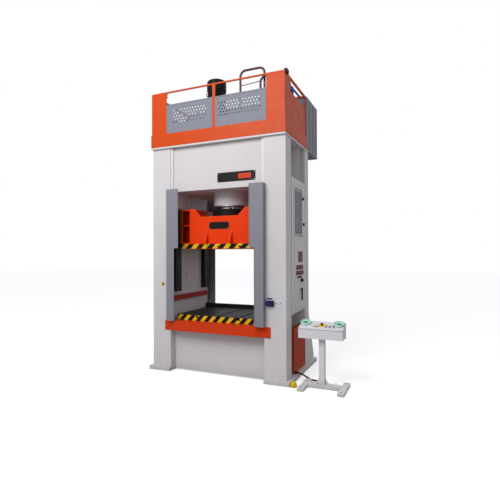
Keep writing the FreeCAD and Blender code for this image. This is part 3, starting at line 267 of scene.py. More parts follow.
def buildHazardBand():
    # leaning stripes: the fraction of (x - z * lean) / pitch, on a front strip between two heights
    group, put, out = newGroup("hazardBand", [("Pitch", "NodeSocketFloat", 0.2),
                                              ("Lean", "NodeSocketFloat", 1.0),
                                              ("Bottom", "NodeSocketFloat", 0.0),
                                              ("Top", "NodeSocketFloat", 1.0),
                                              ("Front", "NodeSocketFloat", -0.5),
                                              ("Offset", "NodeSocketFloat", 0.0)],
                               [("Band", "NodeSocketFloat"), ("Stripe", "NodeSocketFloat")])
    split = group.nodes.new("ShaderNodeSeparateXYZ")
    group.links.new(objectPlace(group), split.inputs[0])
    leaned = mathNode(group, "MULTIPLY", split.outputs["Z"], put.outputs["Lean"])
    along = mathNode(group, "ADD", mathNode(group, "SUBTRACT", split.outputs["X"], leaned),
                     put.outputs["Offset"])
    turn = mathNode(group, "FRACT", mathNode(group, "DIVIDE", mathNode(group, "ADD", along, 20.0),
                                             put.outputs["Pitch"]))
    group.links.new(mathNode(group, "GREATER_THAN", turn, 0.54), out.inputs["Stripe"])
    above = mathNode(group, "GREATER_THAN", split.outputs["Z"], put.outputs["Bottom"])
    below = mathNode(group, "LESS_THAN", split.outputs["Z"], put.outputs["Top"])
    ahead = mathNode(group, "LESS_THAN", split.outputs["Y"], put.outputs["Front"])
    band = mathNode(group, "MULTIPLY", mathNode(group, "MULTIPLY", above, below), ahead)
    group.links.new(band, out.inputs["Band"])
    return group


def buildMachinedGrain():
    # fine parallel tool marks: noise stretched along one axis
    group, put, out = newGroup("machinedGrain", [
        ("Stretch", "NodeSocketVector", (4.0, 400.0, 400.0)), ("Depth", "NodeSocketFloat", 1.0)],
        [("Shade", "NodeSocketFloat"), ("Height", "NodeSocketFloat")])
    scaled = group.nodes.new("ShaderNodeVectorMath")
    scaled.operation = "MULTIPLY"
    group.links.new(objectPlace(group), scaled.inputs[0])
    group.links.new(put.outputs["Stretch"], scaled.inputs[1])
    marks = noiseNode(group, scaled.outputs[0], 1.0, 4.0)
    group.links.new(spread(group, marks, 0.85, 1.12), out.inputs["Shade"])
    group.links.new(mathNode(group, "MULTIPLY", marks, put.outputs["Depth"]), out.inputs["Height"])
    return group


def buildCastGrain():
    # the pebbled skin of a casting or a textured plastic
    group, put, out = newGroup("castGrain", [("Scale", "NodeSocketFloat", 180.0)],
                               [("Shade", "NodeSocketFloat"), ("Height", "NodeSocketFloat")])
    place = objectPlace(group)
    cells = group.nodes.new("ShaderNodeTexVoronoi")
    group.links.new(place, cells.inputs["Vector"])
    group.links.new(put.outputs["Scale"], cells.inputs["Scale"])
    group.links.new(cells.outputs["Distance"], out.inputs["Height"])
    group.links.new(spread(group, noiseNode(group, place, 22.0, 4.0), 0.85, 1.2), out.inputs["Shade"])
    return group


effects = {
    "paintSkin": buildPaintSkin(), "floorDarkening": buildFloorDarkening(),
    "hazardBand": buildHazardBand(), "machinedGrain": buildMachinedGrain(), "castGrain": buildCastGrain(),
}
print("shader effects built")


def useEffect(tree, name, **values):
    node = tree.nodes.new("ShaderNodeGroup")
    node.node_tree = effects[name]
    for label, value in values.items():
        feed(tree, node.inputs[label], value)
    return node


def addBump(tree, shader, height, strength, distance):
    bump = tree.nodes.new("ShaderNodeBump")
    bump.inputs["Strength"].default_value = strength
    bump.inputs["Distance"].default_value = distance
    tree.links.new(height, bump.inputs["Height"])
    tree.links.new(bump.outputs["Normal"], shader.inputs["Normal"])


def newMaterial(name):
    made = bpy.data.materials.new(name)
    made.use_nodes = True
    shader = made.node_tree.nodes["Principled BSDF"]
    shader.inputs["Specular IOR Level"].default_value = 0.14
    return made, made.node_tree, shader


def hazardTape(tree, under, band):
    # black and yellow stripes over a finish, with the mask of where they lie
    tape = useEffect(tree, "hazardBand", **band)
    stripes = mixColour(tree, tape.outputs["Stripe"], (0.010, 0.010, 0.010), (0.80, 0.48, 0.012))
    return mixColour(tree, tape.outputs["Band"], under, stripes), tape.outputs["Band"]


def paint(name, colour, gloss=0.4, drift=0.035, darkenLow=False, coat=0.0, band=None, patch=None):
    # painted steel; band is a hazard strip, patch a region (low corner, high corner, colour)
    made, tree, shader = newMaterial(name)
    skin = useEffect(tree, "paintSkin", Colour=colour, Drift=drift, Gloss=gloss)
    tint = skin.outputs["Colour"]
    for low, high, other in patch or ():
        tint = mixColour(tree, insideBox(tree, low, high), tint, other)
    if darkenLow:
        # darker towards the bottom: a patchy brownish grey within a hand's height of the floor
        tint = mixColour(tree, useEffect(tree, "floorDarkening").outputs["Mask"], tint, (0.24, 0.225, 0.205))
    if band:
        tint = hazardTape(tree, tint, band)[0]
    tree.links.new(tint, shader.inputs["Base Color"])
    tree.links.new(skin.outputs["Roughness"], shader.inputs["Roughness"])
    shader.inputs["Coat Weight"].default_value = coat
    addBump(tree, shader, skin.outputs["Height"], 0.12, 0.0006)
    return made


def insideBox(tree, low, high):
    # 1 where the point lies between two corners, else 0
    split = tree.nodes.new("ShaderNodeSeparateXYZ")
    tree.links.new(objectPlace(tree), split.inputs[0])
    mask = None
    for axis, bottom, top in zip("XYZ", low, high):
        for operation, edge in (("GREATER_THAN", bottom), ("LESS_THAN", top)):
            if edge is None:
                continue
            test = mathNode(tree, operation, split.outputs[axis], edge)
            mask = test if mask is None else mathNode(tree, "MULTIPLY", mask, test)
    return mask


def steel(name, colour, rough, stretch, metallic=1.0, depth=0.4, band=None):
    made, tree, shader = newMaterial(name)
    marks = useEffect(tree, "machinedGrain", Stretch=stretch)
    shade = mixColour(tree, 1.0, colour, marks.outputs["Shade"], "MULTIPLY")
    if band:
        shade, taped = hazardTape(tree, shade, band)
        bare = mathNode(tree, "SUBTRACT", 1.0, taped)
        tree.links.new(mathNode(tree, "MULTIPLY", bare, metallic), shader.inputs["Metallic"])
    else:
        shader.inputs["Metallic"].default_value = metallic
    tree.links.new(shade, shader.inputs["Base Color"])
    roughness = mathNode(tree, "MULTIPLY", marks.outputs["Shade"], rough)
    tree.links.new(roughness, shader.inputs["Roughness"])
    addBump(tree, shader, marks.outputs["Height"], depth, 0.0004)
    return made


def moulded(name, colour, rough, scale=260.0, coat=0.0, relief=0.25, metallic=0.0):
    # plastic, rubber or a casting with a pebbled skin
    made, tree, shader = newMaterial(name)
    grain = useEffect(tree, "castGrain", Scale=scale)
    shade = mixColour(tree, 1.0, colour, grain.outputs["Shade"], "MULTIPLY")
    tree.links.new(shade, shader.inputs["Base Color"])
    drift = spread(tree, noiseNode(tree, objectPlace(tree), 30.0), rough - 0.05, rough + 0.06)
    tree.links.new(drift, shader.inputs["Roughness"])
    shader.inputs["Metallic"].default_value = metallic
    shader.inputs["Coat Weight"].default_value = coat
    addBump(tree, shader, grain.outputs["Height"], relief, 0.0005)
    return made


# painted shade: inside the slide's pockets, between y -0.5 and 0.5, the red is painted deeper to stand in for
# the shade in the recesses
slidePocketShade = [((None, -0.500, 2.262), (None, 0.500, 2.845), (0.30, 0.012, 0.002))]
# painted shade: the rear bar, beyond y 0.5, is painted near black for the shade it stands in behind the
# bolster
rearBarShade = [((None, 0.5, None), (None, None, None), (0.012, 0.012, 0.013))]
returnPipe = [((1.0, None, None), (None, None, None), (0.012, 0.070, 0.300))]
plateField = [((0.42, None, 3.315), (0.655, None, 3.400), (0.60, 0.050, 0.012))]
mixed = [
    paint("whitePaint", (0.655, 0.628, 0.645), 0.42, darkenLow=True),
    paint("crownPaint", (0.645, 0.615, 0.625), 0.42),
    paint("stripPaint", (0.74, 0.72, 0.73), 0.36),
    paint("orangePaint", (0.60, 0.066, 0.006), 0.38),
    paint("slidePaint", (0.82, 0.045, 0.001), 0.36, patch=slidePocketShade),
    paint("platenPaint", (0.82, 0.045, 0.001), 0.36, band={
        "Pitch": 0.212, "Lean": 0.9, "Bottom": 2.160, "Top": 2.242, "Front": -0.513}),
    paint("barPaint", (0.66, 0.045, 0.006), 0.40, patch=rearBarShade),
    paint("darkRedPaint", (0.42, 0.042, 0.004), 0.42, darkenLow=True),
    paint("railRed", (0.40, 0.025, 0.010), 0.42),
    paint("labelRed", (0.120, 0.012, 0.014), 0.35),
    paint("blackPaint", (0.008, 0.008, 0.009), 0.38),
    paint("guardPaint", (0.250, 0.246, 0.280), 0.45),
    paint("pipePaint", (0.250, 0.246, 0.280), 0.40, patch=returnPipe),
    paint("tankPaint", (0.240, 0.232, 0.285), 0.45),
    paint("grillePaint", (0.225, 0.232, 0.280), 0.45),
    paint("maroonPaint", (0.090, 0.007, 0.020), 0.25, coat=0.5),
    paint("bluePaint", (0.012, 0.070, 0.300), 0.30, coat=0.3),
    paint("yellowPaint", (0.72, 0.47, 0.02), 0.40),
    paint("consolePaint", (0.74, 0.72, 0.75), 0.42, darkenLow=True),
    paint("crownPlate", (0.009, 0.009, 0.010), 0.35, patch=plateField),
    steel("bolsterSteel", (0.013, 0.018, 0.015), 0.50, (3.0, 260.0, 260.0), 0.3, band={
        "Pitch": 0.166, "Lean": 0.9, "Bottom": 0.900, "Top": 0.9965, "Front": -0.573}),
    steel("chrome", (0.70, 0.70, 0.71), 0.14, (500.0, 500.0, 3.0), depth=0.05),
    steel("machinedSteel", (0.50, 0.50, 0.51), 0.36, (6.0, 300.0, 300.0)),
    steel("boltSteel", (0.26, 0.26, 0.27), 0.42, (60.0, 60.0, 60.0)),
    steel("guideBlack", (0.020, 0.020, 0.022), 0.34, (300.0, 300.0, 4.0), 0.5),
    moulded("blackPlastic", (0.014, 0.014, 0.015), 0.5),
    moulded("boxPlastic", (0.008, 0.020, 0.018), 0.45),
    moulded("bluePlastic", (0.012, 0.018, 0.110), 0.35, coat=0.2),
    moulded("redPlastic", (0.30, 0.012, 0.010), 0.3, coat=0.3, relief=0.1),
    moulded("stopPlastic", (0.060, 0.010, 0.008), 0.35, coat=0.2, relief=0.1),
    moulded("greenPlastic", (0.020, 0.200, 0.130), 0.3, coat=0.3, relief=0.1),
    moulded("mintPlastic", (0.52, 0.80, 0.70), 0.4, relief=0.1),
    moulded("lampPlastic", (0.56, 0.56, 0.50), 0.2, coat=0.5, relief=0.05),
    moulded("rubber", (0.016, 0.016, 0.017), 0.6, 400.0),
    moulded("motorCast", (0.010, 0.010, 0.011), 0.42, 120.0, relief=0.4),
    moulded("weldBead", (0.46, 0.45, 0.46), 0.42, 90.0, relief=0.8),
]
finishes = {each.name: each for each in mixed}
print(len(finishes), "finishes mixed")


def gridFaces(rows, columns, wrapRows=False, wrapColumns=True):
    # the quads of a rows by columns grid of points, closed on itself where asked
    row = np.arange(rows if wrapRows else rows - 1)[:, None]
    column = np.arange(columns if wrapColumns else columns - 1)[None, :]
    nextRow, nextColumn = (row + 1) % rows, (column + 1) % columns
    corners = [row * columns + column, row * columns + nextColumn,
               nextRow * columns + nextColumn, nextRow * columns + column]
    return np.stack([c + 0 * row + 0 * column for c in corners], -1).reshape(-1, 4).tolist()


def boxes(lows, highs):
    # corner k of a box is low + (high - low) * k's three bits
    lows, highs = np.atleast_2d(lows).astype(float), np.atleast_2d(highs).astype(float)
    bits = np.array(np.meshgrid([0, 1], [0, 1], [0, 1], indexing="ij")).reshape(3, -1).T
    verts = lows[:, None] + (highs - lows)[:, None] * bits[None]
    quads = np.array([[0, 1, 3, 2], [4, 6, 7, 5], [0, 4, 5, 1], [2, 3, 7, 6], [0, 2, 6, 4], [1, 5, 7, 3]])
    faces = quads[None] + 8 * np.arange(len(lows))[:, None, None]
    return verts.reshape(-1, 3), faces.reshape(-1, 4).tolist()


def lathe(profile, turns=48, centre=(0, 0, 0), axis="z", loop=False):
    # point (i, j) stands at radius r_i and height h_i, turned by 2 pi j / turns about the axis
    profile = np.asarray(profile, float)
    angle = np.arange(turns) * 2 * np.pi / turns
    across = np.outer(profile[:, 0], np.cos(angle))
    along = np.outer(profile[:, 0], np.sin(angle))
    height = np.repeat(profile[:, 1][:, None], turns, 1)
    order = {"z": (across, along, height), "y": (across, height, along), "x": (height, across, along)}[axis]
    verts = np.stack(order, -1).reshape(-1, 3) + np.asarray(centre, float)
    return verts, gridFaces(len(profile), turns, wrapRows=loop)


def sweep(path, radius, across, sides=16):
    # a ring of points at each point of the path, in the plane square to its run
    path = np.asarray(path, float)
    run = np.gradient(path, axis=0)
    run /= np.linalg.norm(run, axis=1)[:, None]
    side = np.cross(run, np.asarray(across, float))
    side /= np.linalg.norm(side, axis=1)[:, None]
    over = np.cross(side, run)
    angle = np.arange(sides) * 2 * np.pi / sides
    radius = np.broadcast_to(radius, len(path))[:, None, None]
    ring = np.cos(angle)[None, :, None] * side[:, None] + np.sin(angle)[None, :, None] * over[:, None]
    verts = (path[:, None] + radius * ring).reshape(-1, 3)
    faces = gridFaces(len(path), sides)
    ends = [list(range(sides)), list(range(len(verts) - sides, len(verts)))]
    return verts, faces + ends


def prism(outline, low, high, axis="z"):
    # a flat outline carried from low to high along an axis
    outline = np.asarray(outline, float)
    count = len(outline)
    levels = np.repeat([low, high], count)
    flat = np.tile(outline, (2, 1))
    order = {"z": (flat[:, 0], flat[:, 1], levels), "y": (flat[:, 0], levels, flat[:, 1]),
             "x": (levels, flat[:, 0], flat[:, 1])}[axis]
    faces = gridFaces(2, count) + [list(range(count)), list(range(count, 2 * count))]
    return np.stack(order, -1), faces


def repeat(shape, places):
    # copies of one shape, each moved by its own offset
    verts, faces = shape
    places = np.atleast_2d(places).astype(float)
    many = (np.asarray(verts)[None] + places[:, None]).reshape(-1, 3)
    return many, [[i + k * len(verts) for i in face] for k in range(len(places)) for face in faces]


def merge(*shapes):
    # several shapes as one list of points and faces
    verts, faces, start = [], [], 0
    for points, quads in shapes:
        verts.append(np.asarray(points, float))
        faces += [[i + start for i in face] for face in quads]
        start += len(points)
    return np.concatenate(verts), faces


def boltHead(size, high, axis="z", sign=1):
    # a six-sided head with a chamfered crown and a flange under it
    profile = [(0, 0), (size * 1.25, 0), (size * 1.25, high * 0.16), (size, high * 0.16),
               (size, high * 0.82), (size * 0.84, high), (0, high)]
    return lathe([(r, h * sign) for r, h in profile], 6, axis=axis)


def smoothEdges(mesh, angle):
    mesh.shade_smooth()
    mesh.set_sharp_from_angle(angle=math.radians(angle))


def tidyMesh(mesh, mergeWithin=1e-6, dissolve=False):
    # joins points that coincide and, on a CAD copy, flattens its triangles into whole faces
    shell = bmesh.new()
    shell.from_mesh(mesh)
    bmesh.ops.remove_doubles(shell, verts=shell.verts, dist=mergeWithin)
    if dissolve:
        bmesh.ops.dissolve_limit(shell, angle_limit=math.radians(0.5), verts=shell.verts, edges=shell.edges)
    else:
        bmesh.ops.recalc_face_normals(shell, faces=shell.faces)
    shell.to_mesh(mesh)
    shell.free()


def addPiece(name, shape, finish, body="frame", stands=None, rounded=0.0, angle=32):
    # makes, finishes and seats one piece; stands names the CAD nodes that it takes the place of
    verts, faces = shape
    mesh = bpy.data.meshes.new(name)
    mesh.from_pydata(np.asarray(verts).tolist(), [], faces)
    tidyMesh(mesh)
    mesh.materials.append(finishes[finish])
    smoothEdges(mesh, angle)
    piece = bpy.data.objects.new(name, mesh)
    bpy.context.collection.objects.link(piece)
    if rounded:
        addBevel(piece, rounded)
    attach(piece, body)
    if stands:
        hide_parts(*stands)
    return piece


def addBevel(piece, width, segments=2):
    bevel = piece.modifiers.new("softEdges", "BEVEL")
    bevel.width = width
    bevel.segments = segments
    bevel.limit_method = "ANGLE"
    bevel.angle_limit = math.radians(40)
    bevel.use_clamp_overlap = True


def softEdged(node, finish, width, angle=None):
    # a copy of a CAD node's mesh with whole faces and rounded edges
    source = frame["nodes"][node]
    mesh = source.data.copy()
    mesh.name = node + "Body"
    tidyMesh(mesh, 1e-5, dissolve=True)
    mesh.materials.clear()
    mesh.materials.append(finishes[finish])
    if angle:
        smoothEdges(mesh, angle)
    else:
        mesh.shade_flat()
    piece = bpy.data.objects.new(node + "_body", mesh)
    bpy.context.collection.objects.link(piece)
    if width:
        addBevel(piece, width)
    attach(piece, source["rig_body"])
    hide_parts(node)
    return piece


# per node: finish, edge radius in metres, smoothing angle where the piece is round
cadSkins = {
    "left_column": ("whitePaint", 0.004), "right_column": ("whitePaint", 0.004),
    "crown": ("crownPaint", 0.004), "bed": ("whitePaint", 0.003),
    "bolster": ("bolsterSteel", 0.003), "safety_bars": ("barPaint", 0.004),
    "inner_rails": ("railRed", 0.004), "guide_rails": ("guideBlack", 0.002),
    "side_guards": ("guardPaint", 0.0015), "slide_block": ("slidePaint", 0.004),
    "slide_platen": ("platenPaint", 0.003), "slide_plate": ("blackPaint", 0.001),
    "slide_shoes": ("machinedSteel", 0.002), "ram_flange": ("blackPaint", 0.002, 35),
    "ram_plunger": ("chrome", 0.003, 35), "flange_bolts": ("blackPaint", 0.002),
    "main_cylinder": ("crownPaint", 0.003, 35), "cylinder_gland": ("machinedSteel", 0.002, 35),
    "prefill_valve": ("machinedSteel", 0.003, 35), "gallery_deck": ("whitePaint", 0.003),
    "gallery_skirt": ("orangePaint", 0.002), "gallery_frame": ("orangePaint", 0.002),
    "side_panels": ("orangePaint", 0.002), "gallery_grilles": ("grillePaint", 0.0),
    "oil_tank": ("tankPaint", 0.012), "valve_block": ("machinedSteel", 0.003, 35),
    "ladder_hoops": ("maroonPaint", 0.0, 40), "oil_pipes": ("pipePaint", 0.0, 40),
    "motor_fan": ("blackPlastic", 0.001, 35), "corner_box": ("boxPlastic", 0.006),
    "upper_door": ("whitePaint", 0.003), "lower_door": ("whitePaint", 0.003),
    "upper_latch": ("blackPlastic", 0.002, 35), "lower_latch": ("blackPlastic", 0.002, 35),
    "door_handle": ("blackPlastic", 0.004), "lower_covers": ("darkRedPaint", 0.002),
    "service_socket": ("bluePlastic", 0.003, 35), "socket_flap": ("bluePlastic", 0.0015, 35),
    "stop_ring": ("yellowPaint", 0.002, 35), "crown_plate": ("crownPlate", 0.001),
    "pedestal_stand": ("consolePaint", 0.004), "console_box": ("consolePaint", 0.003),
    "stop_plate": ("yellowPaint", 0.001),
}
for node, look in cadSkins.items():
    softEdged(node, *look)
print(len(cadSkins), "pieces given soft edges")

conduit = {
    "route": [
        (1.300, -0.192, 0.094), (1.385, -0.200, 0.080), (1.465, -0.222, 0.046), (1.545, -0.246, 0.021),
        (1.625, -0.262, 0.017), (1.700, -0.282, 0.031), (1.764, -0.320, 0.063), (1.796, -0.388, 0.093),
        (1.800, -0.476, 0.105)],
    "radius": 0.014,
    "rib": 0.0045,
    "ribDepth": 0.0011,
}


def smoothRoute(points):
    # the fine points of a quadratic NURBS line through the route's control points
    data = bpy.data.curves.new("conduitLine", "CURVE")
    data.dimensions = "3D"
    line = data.splines.new("NURBS")
    line.points.add(len(points) - 1)
    line.points.foreach_set("co", np.c_[np.array(points), np.ones(len(points))].ravel())
    line.order_u = 3
    line.use_endpoint_u = True
    line.resolution_u = 40
    holder = bpy.data.objects.new("conduitLine", data)
    bpy.context.collection.objects.link(holder)
    bpy.context.view_layer.update()
    drawn = bpy.data.meshes.new_from_object(holder)
    fine = np.zeros(len(drawn.vertices) * 3)
    drawn.vertices.foreach_get("co", fine)
    bpy.data.objects.remove(holder)
    return fine.reshape(-1, 3)


def addConduit(values):
    # corrugated tube: radius = r - depth * (1 - cos(2 pi s / rib)) / 2 along its length s
    fine = smoothRoute(values["route"])
    length = np.r_[0, np.cumsum(np.linalg.norm(np.diff(fine, axis=0), axis=1))]
    steps = np.linspace(0, length[-1], int(length[-1] / values["rib"] * 4) + 1)
    path = np.stack([np.interp(steps, length, fine[:, k]) for k in range(3)], -1)
    wave = (1 - np.cos(2 * np.pi * steps / values["rib"])) / 2
    shape = sweep(path, values["radius"] - values["ribDepth"] * wave, (0, 0, 1), 14)
    piece = addPiece("conduit", shape, "rubber", stands=["console_conduit"], angle=70)
    glandProfile = [(0.0, 0), (0.024, 0), (0.024, 0.010), (0.021, 0.012), (0.021, 0.026), (0.018, 0.030),
                    (0.018, 0.041), (0.0, 0.041)]
    near, far = values["route"][0], values["route"][-1]
    nearNut = lathe([(r, h) for r, h in glandProfile], 12, (near[0] - 0.0415, near[1], near[2]), "x")
    farNut = lathe([(r * 0.94, h * 0.6) for r, h in glandProfile], 12, (far[0], far[1] - 0.0252, far[2]), "y")
    addPiece("conduitGlands", merge(nearNut, farNut), "blackPlastic", stands=["conduit_glands"],
             rounded=0.001)


addConduit(conduit)
print("conduit laid")


def screws(places, size, high, axis="z", sign=1):
    # the same head at many places
    return repeat(boltHead(size, high, axis, sign), places)


def turnedRing(inner, outer, low, high, turns=40, centre=(0, 0, 0), axis="z"):
    # a flat ring: a closed rectangular section turned about the axis
    section = [(inner, low), (outer, low), (outer, high), (inner, high)]
    return lathe(section, turns, centre, axis, loop=True)


def boxOf(node):
    # the low and the high corner of a CAD node
    return (np.array(corner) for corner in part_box(node))


def circle(count, radius, centre, level, start=0.0):
    # places evenly round a circle: angle = start + 2 pi k / count
    angles = start + np.arange(count) * 2 * math.pi / count
    return [(centre[0] + radius * math.cos(a), centre[1] + radius * math.sin(a), level) for a in angles]


def grid3(xs, ys, zs):
    # every combination of the stations on three axes
    return np.stack(np.meshgrid(xs, ys, zs, indexing="ij"), -1).reshape(-1, 3)


motor = {"fins": 36, "finDepth": 0.020, "boxSize": (0.13, 0.10, 0.16), "ringCount": 5}


def addMotor(values):
    low, high = boxOf("motor_body")
    axis = (low + high) / 2
    radius = (high[0] - low[0]) / 2
    shell = radius - 0.020
    angle = np.arange(values["fins"] * 8) * 2 * np.pi / (values["fins"] * 8)
    # radius at angle a: shell - depth * (1 - fin(a)), where fin is a rounded square wave
    fin = 0.5 + 0.5 * np.tanh(3.5 * np.cos(values["fins"] * angle))
    heights = [low[2] + 0.055, low[2] + 0.075, high[2] - 0.075, high[2] - 0.055]
    depth = [0.0, values["finDepth"], values["finDepth"], 0.0]
    rings = [np.stack([(shell - d * (1 - fin)) * np.cos(angle), (shell - d * (1 - fin)) * np.sin(angle),
                       np.full_like(angle, z)], -1) for d, z in zip(depth, heights)]
    body = np.concatenate(rings)
    body[:, :2] += axis[:2]
    finned = body, gridFaces(4, len(angle))
    foot = lathe([(0, low[2]), (radius, low[2]), (radius, low[2] + 0.022), (shell, low[2] + 0.030),
                  (shell, low[2] + 0.055), (0, low[2] + 0.055)], 64, (*axis[:2], 0))
    head = lathe([(0, high[2] - 0.055), (shell, high[2] - 0.055), (shell, high[2] - 0.034),
                  (shell - 0.02, high[2]), (0.032, high[2]), (0.032, high[2] - 0.010),
                  (0, high[2] - 0.010)], 64, (*axis[:2], 0))
    lugs = [(axis[0] + shell * math.cos(a), axis[1] + shell * math.sin(a)) for a in (0.6, 3.74)]
    lifting = [lathe([(0.018, 0.0), (0.026, -0.008), (0.034, 0.0), (0.026, 0.008)], 24,
                     (x, y, high[2] - 0.10), "y", loop=True) for x, y in lugs]
    addPiece("motorBody", merge(finned, foot, head, *lifting), "motorCast", stands=["motor_body"], angle=40)
    size = np.array(values["boxSize"])
    corner = np.array([axis[0] + 0.06, axis[1] - shell - size[1] * 0.55, low[2] + 0.25])
    box = boxes([corner, corner + (-0.005, -0.008, -0.005)],
                [corner + size, corner + (size[0] + 0.005, 0, size[2] + 0.005)])
    addPiece("motorTerminalBox", box, "blackPaint", rounded=0.005)
    ends = grid3([corner[0] + 0.012, corner[0] + size[0] - 0.012], [corner[1] - 0.008],
                 [corner[2] + 0.012, corner[2] + size[2] - 0.012])
    ring = circle(8, radius - 0.009, axis, low[2] + 0.0225, 0.39)
    addPiece("motorScrews", merge(screws(ends, 0.006, 0.005, "y", -1), screws(ring, 0.009, 0.009)),
             "boltSteel")


def addCowl(values):
    low, high = boxOf("fan_cowl")
    x, y = (low[:2] + high[:2]) / 2
    radius = (high[0] - low[0]) / 2
    top, base = high[2], low[2]
    bend = np.linspace(0, np.pi / 2, 8)
    # the shoulder is a quarter ellipse from the side wall to the flat top
    outer = np.stack([radius - 0.050 * (1 - np.cos(bend)), top - 0.040 + 0.040 * np.sin(bend)], -1)
    inner = np.stack([radius - 0.006 - 0.048 * (1 - np.cos(bend)), top - 0.043 + 0.037 * np.sin(bend)],
                     -1)[::-1]
    ledge = [(radius - 0.006, base + 0.034), (radius - 0.013, base + 0.034), (radius - 0.013, base + 0.030),
             (radius - 0.010, base + 0.030)]
    section = np.concatenate([[(radius - 0.010, base), (radius, base)], outer,
                              [(0.040, top), (0.040, top - 0.006)], inner, ledge])
    shell = lathe(section, 72, (x, y, 0), loop=True)
    rings = [turnedRing(r - 0.003, r + 0.003, top - 0.0005, top + 0.005, 48, (x, y, 0))
             for r in np.linspace(0.046, radius - 0.056, values["ringCount"])]
    ribs = [turnedRing(radius - 0.0005, radius + 0.004, z, z + 0.006, 72, (x, y, 0))
            for z in (base + 0.016, base + 0.062, base + 0.100)]
    heads = circle(6, radius - 0.0005, (x, y), base + 0.010, 0.25)
    addPiece("fanCowl", merge(shell, *rings, *ribs, screws(heads, 0.006, 0.006)), "blackPaint",
             stands=["fan_cowl"], angle=38)


addMotor(motor)
addCowl(motor)

hydraulics = {"clampRise": (0.22, 0.62), "pumpBolts": 6}


def addHydraulics(values):
    low, high = boxOf("pump_unit")
    x, y = (low[:2] + high[:2]) / 2
    bell = (high[0] - low[0]) / 2
    deck, top = low[2], high[2]
    pump = bell - 0.045
    profile = [(0, deck), (pump, deck), (pump, deck + 0.02), (pump - 0.012, deck + 0.03),
               (pump - 0.012, deck + 0.12), (pump, deck + 0.13), (pump, deck + 0.16),
               (pump - 0.02, deck + 0.17), (pump - 0.02, top - 0.31), (pump, top - 0.30),
               (bell, top - 0.29), (bell, top - 0.25), (bell - 0.016, top - 0.235),
               (bell - 0.016, top - 0.05), (bell, top - 0.035), (bell, top), (0, top)]
    ring = circle(values["pumpBolts"], bell - 0.014, (x, y), top - 0.300)
    addPiece("pumpUnit", merge(lathe(profile, 56, (x, y, 0)), screws(ring, 0.010, 0.010)), "guardPaint",
             stands=["pump_unit"], angle=35)

    low, high = boxOf("accumulator")
    x, y = (low[:2] + high[:2]) / 2
    r, deck, top = (high[0] - low[0]) / 2, low[2], high[2]
    bend = np.linspace(0, np.pi / 2, 9)
    dome = np.stack([0.030 + (r - 0.030) * np.cos(bend), top - 0.110 + 0.045 * np.sin(bend)], -1)
    bowl = np.stack([(r - 0.015) + 0.015 * np.sin(bend), deck + 0.070 - 0.030 * np.cos(bend)], -1)
    profile = np.concatenate([[(0, deck), (r - 0.015, deck)], bowl, dome,
                              [(0.030, top - 0.012), (0.024, top), (0, top)]])
    addPiece("accumulatorBottle", lathe(profile, 48, (x, y, 0)), "bluePaint", stands=["accumulator"],
             angle=40)
    rises = [deck + rise for rise in values["clampRise"]]
    bands = [turnedRing(r + 0.0002, r + 0.005, z, z + 0.035, 48, (x, y, 0)) for z in rises]
    blocks = boxes([(x + r, y - 0.022, z) for z in rises],
                   [(x + r + 0.035, y + 0.022, z + 0.035) for z in rises])
    addPiece("accumulatorClamps", merge(*bands, blocks), "boltSteel", rounded=0.001)

    low, high = boxOf("valve_block")
    top = high[2]
    caps = [lathe([(0, top - 0.001), (0.030, top - 0.001), (0.030, top + 0.030), (0.022, top + 0.042),
                   (0, top + 0.042)], 32, (cx, -0.405, 0)) for cx in (0.235, 0.380)]
    addPiece("valveCoils", merge(*caps), "blackPlastic", angle=35)
    heads = grid3([low[0] + 0.03, 0.31, high[0] - 0.10], [low[1] + 0.02, high[1] - 0.02], [top - 0.140])
    plugs = grid3([low[0] + 0.05, 0.31, 0.40], [low[1]], [low[2] + 0.08, low[2] + 0.20])
    addPiece("valveScrews", merge(screws(heads, 0.010, 0.010), screws(plugs, 0.014, 0.008, "y", -1)),
             "boltSteel")

    high = np.array(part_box("main_cylinder")[1])
    ring = circle(12, 0.182, (0, 0), high[2] + 0.0398)
    edge = circle(16, 0.255, (0, 0), high[2])
    addPiece("prefillBolts", merge(screws(ring, 0.013, 0.014), screws(edge, 0.015, 0.016)), "boltSteel")
    level = high[2] + 0.15
    flanges = [turnedRing(0.0445, 0.078, y0, y0 + 0.022, 40, (0, 0, level), "y")
               for y0 in (0.183, 0.208, 0.474)]
    nuts = [turnedRing(0.0215, 0.036, x0, x0 + 0.030, 6, (0, 0, level), "x") for x0 in (0.183, 0.262)]
    addPiece("pipeFlanges", merge(*flanges, *nuts), "machinedSteel", rounded=0.001)
    under = circle(16, 0.291, (0, 0), 2.900, 0.2)
    addPiece("glandScrews", screws(under, 0.011, 0.010, "z", -1), "boltSteel")


addHydraulics(hydraulics)
print("drive and hydraulics added")

gallery = {
    "foldStrip": 0.060,
    "rim": 0.022,
    "rimProud": 0.003,
    "grilleLow": 4.204,
    "tankRib": 0.045,
    "tankRibProud": 0.006,
}


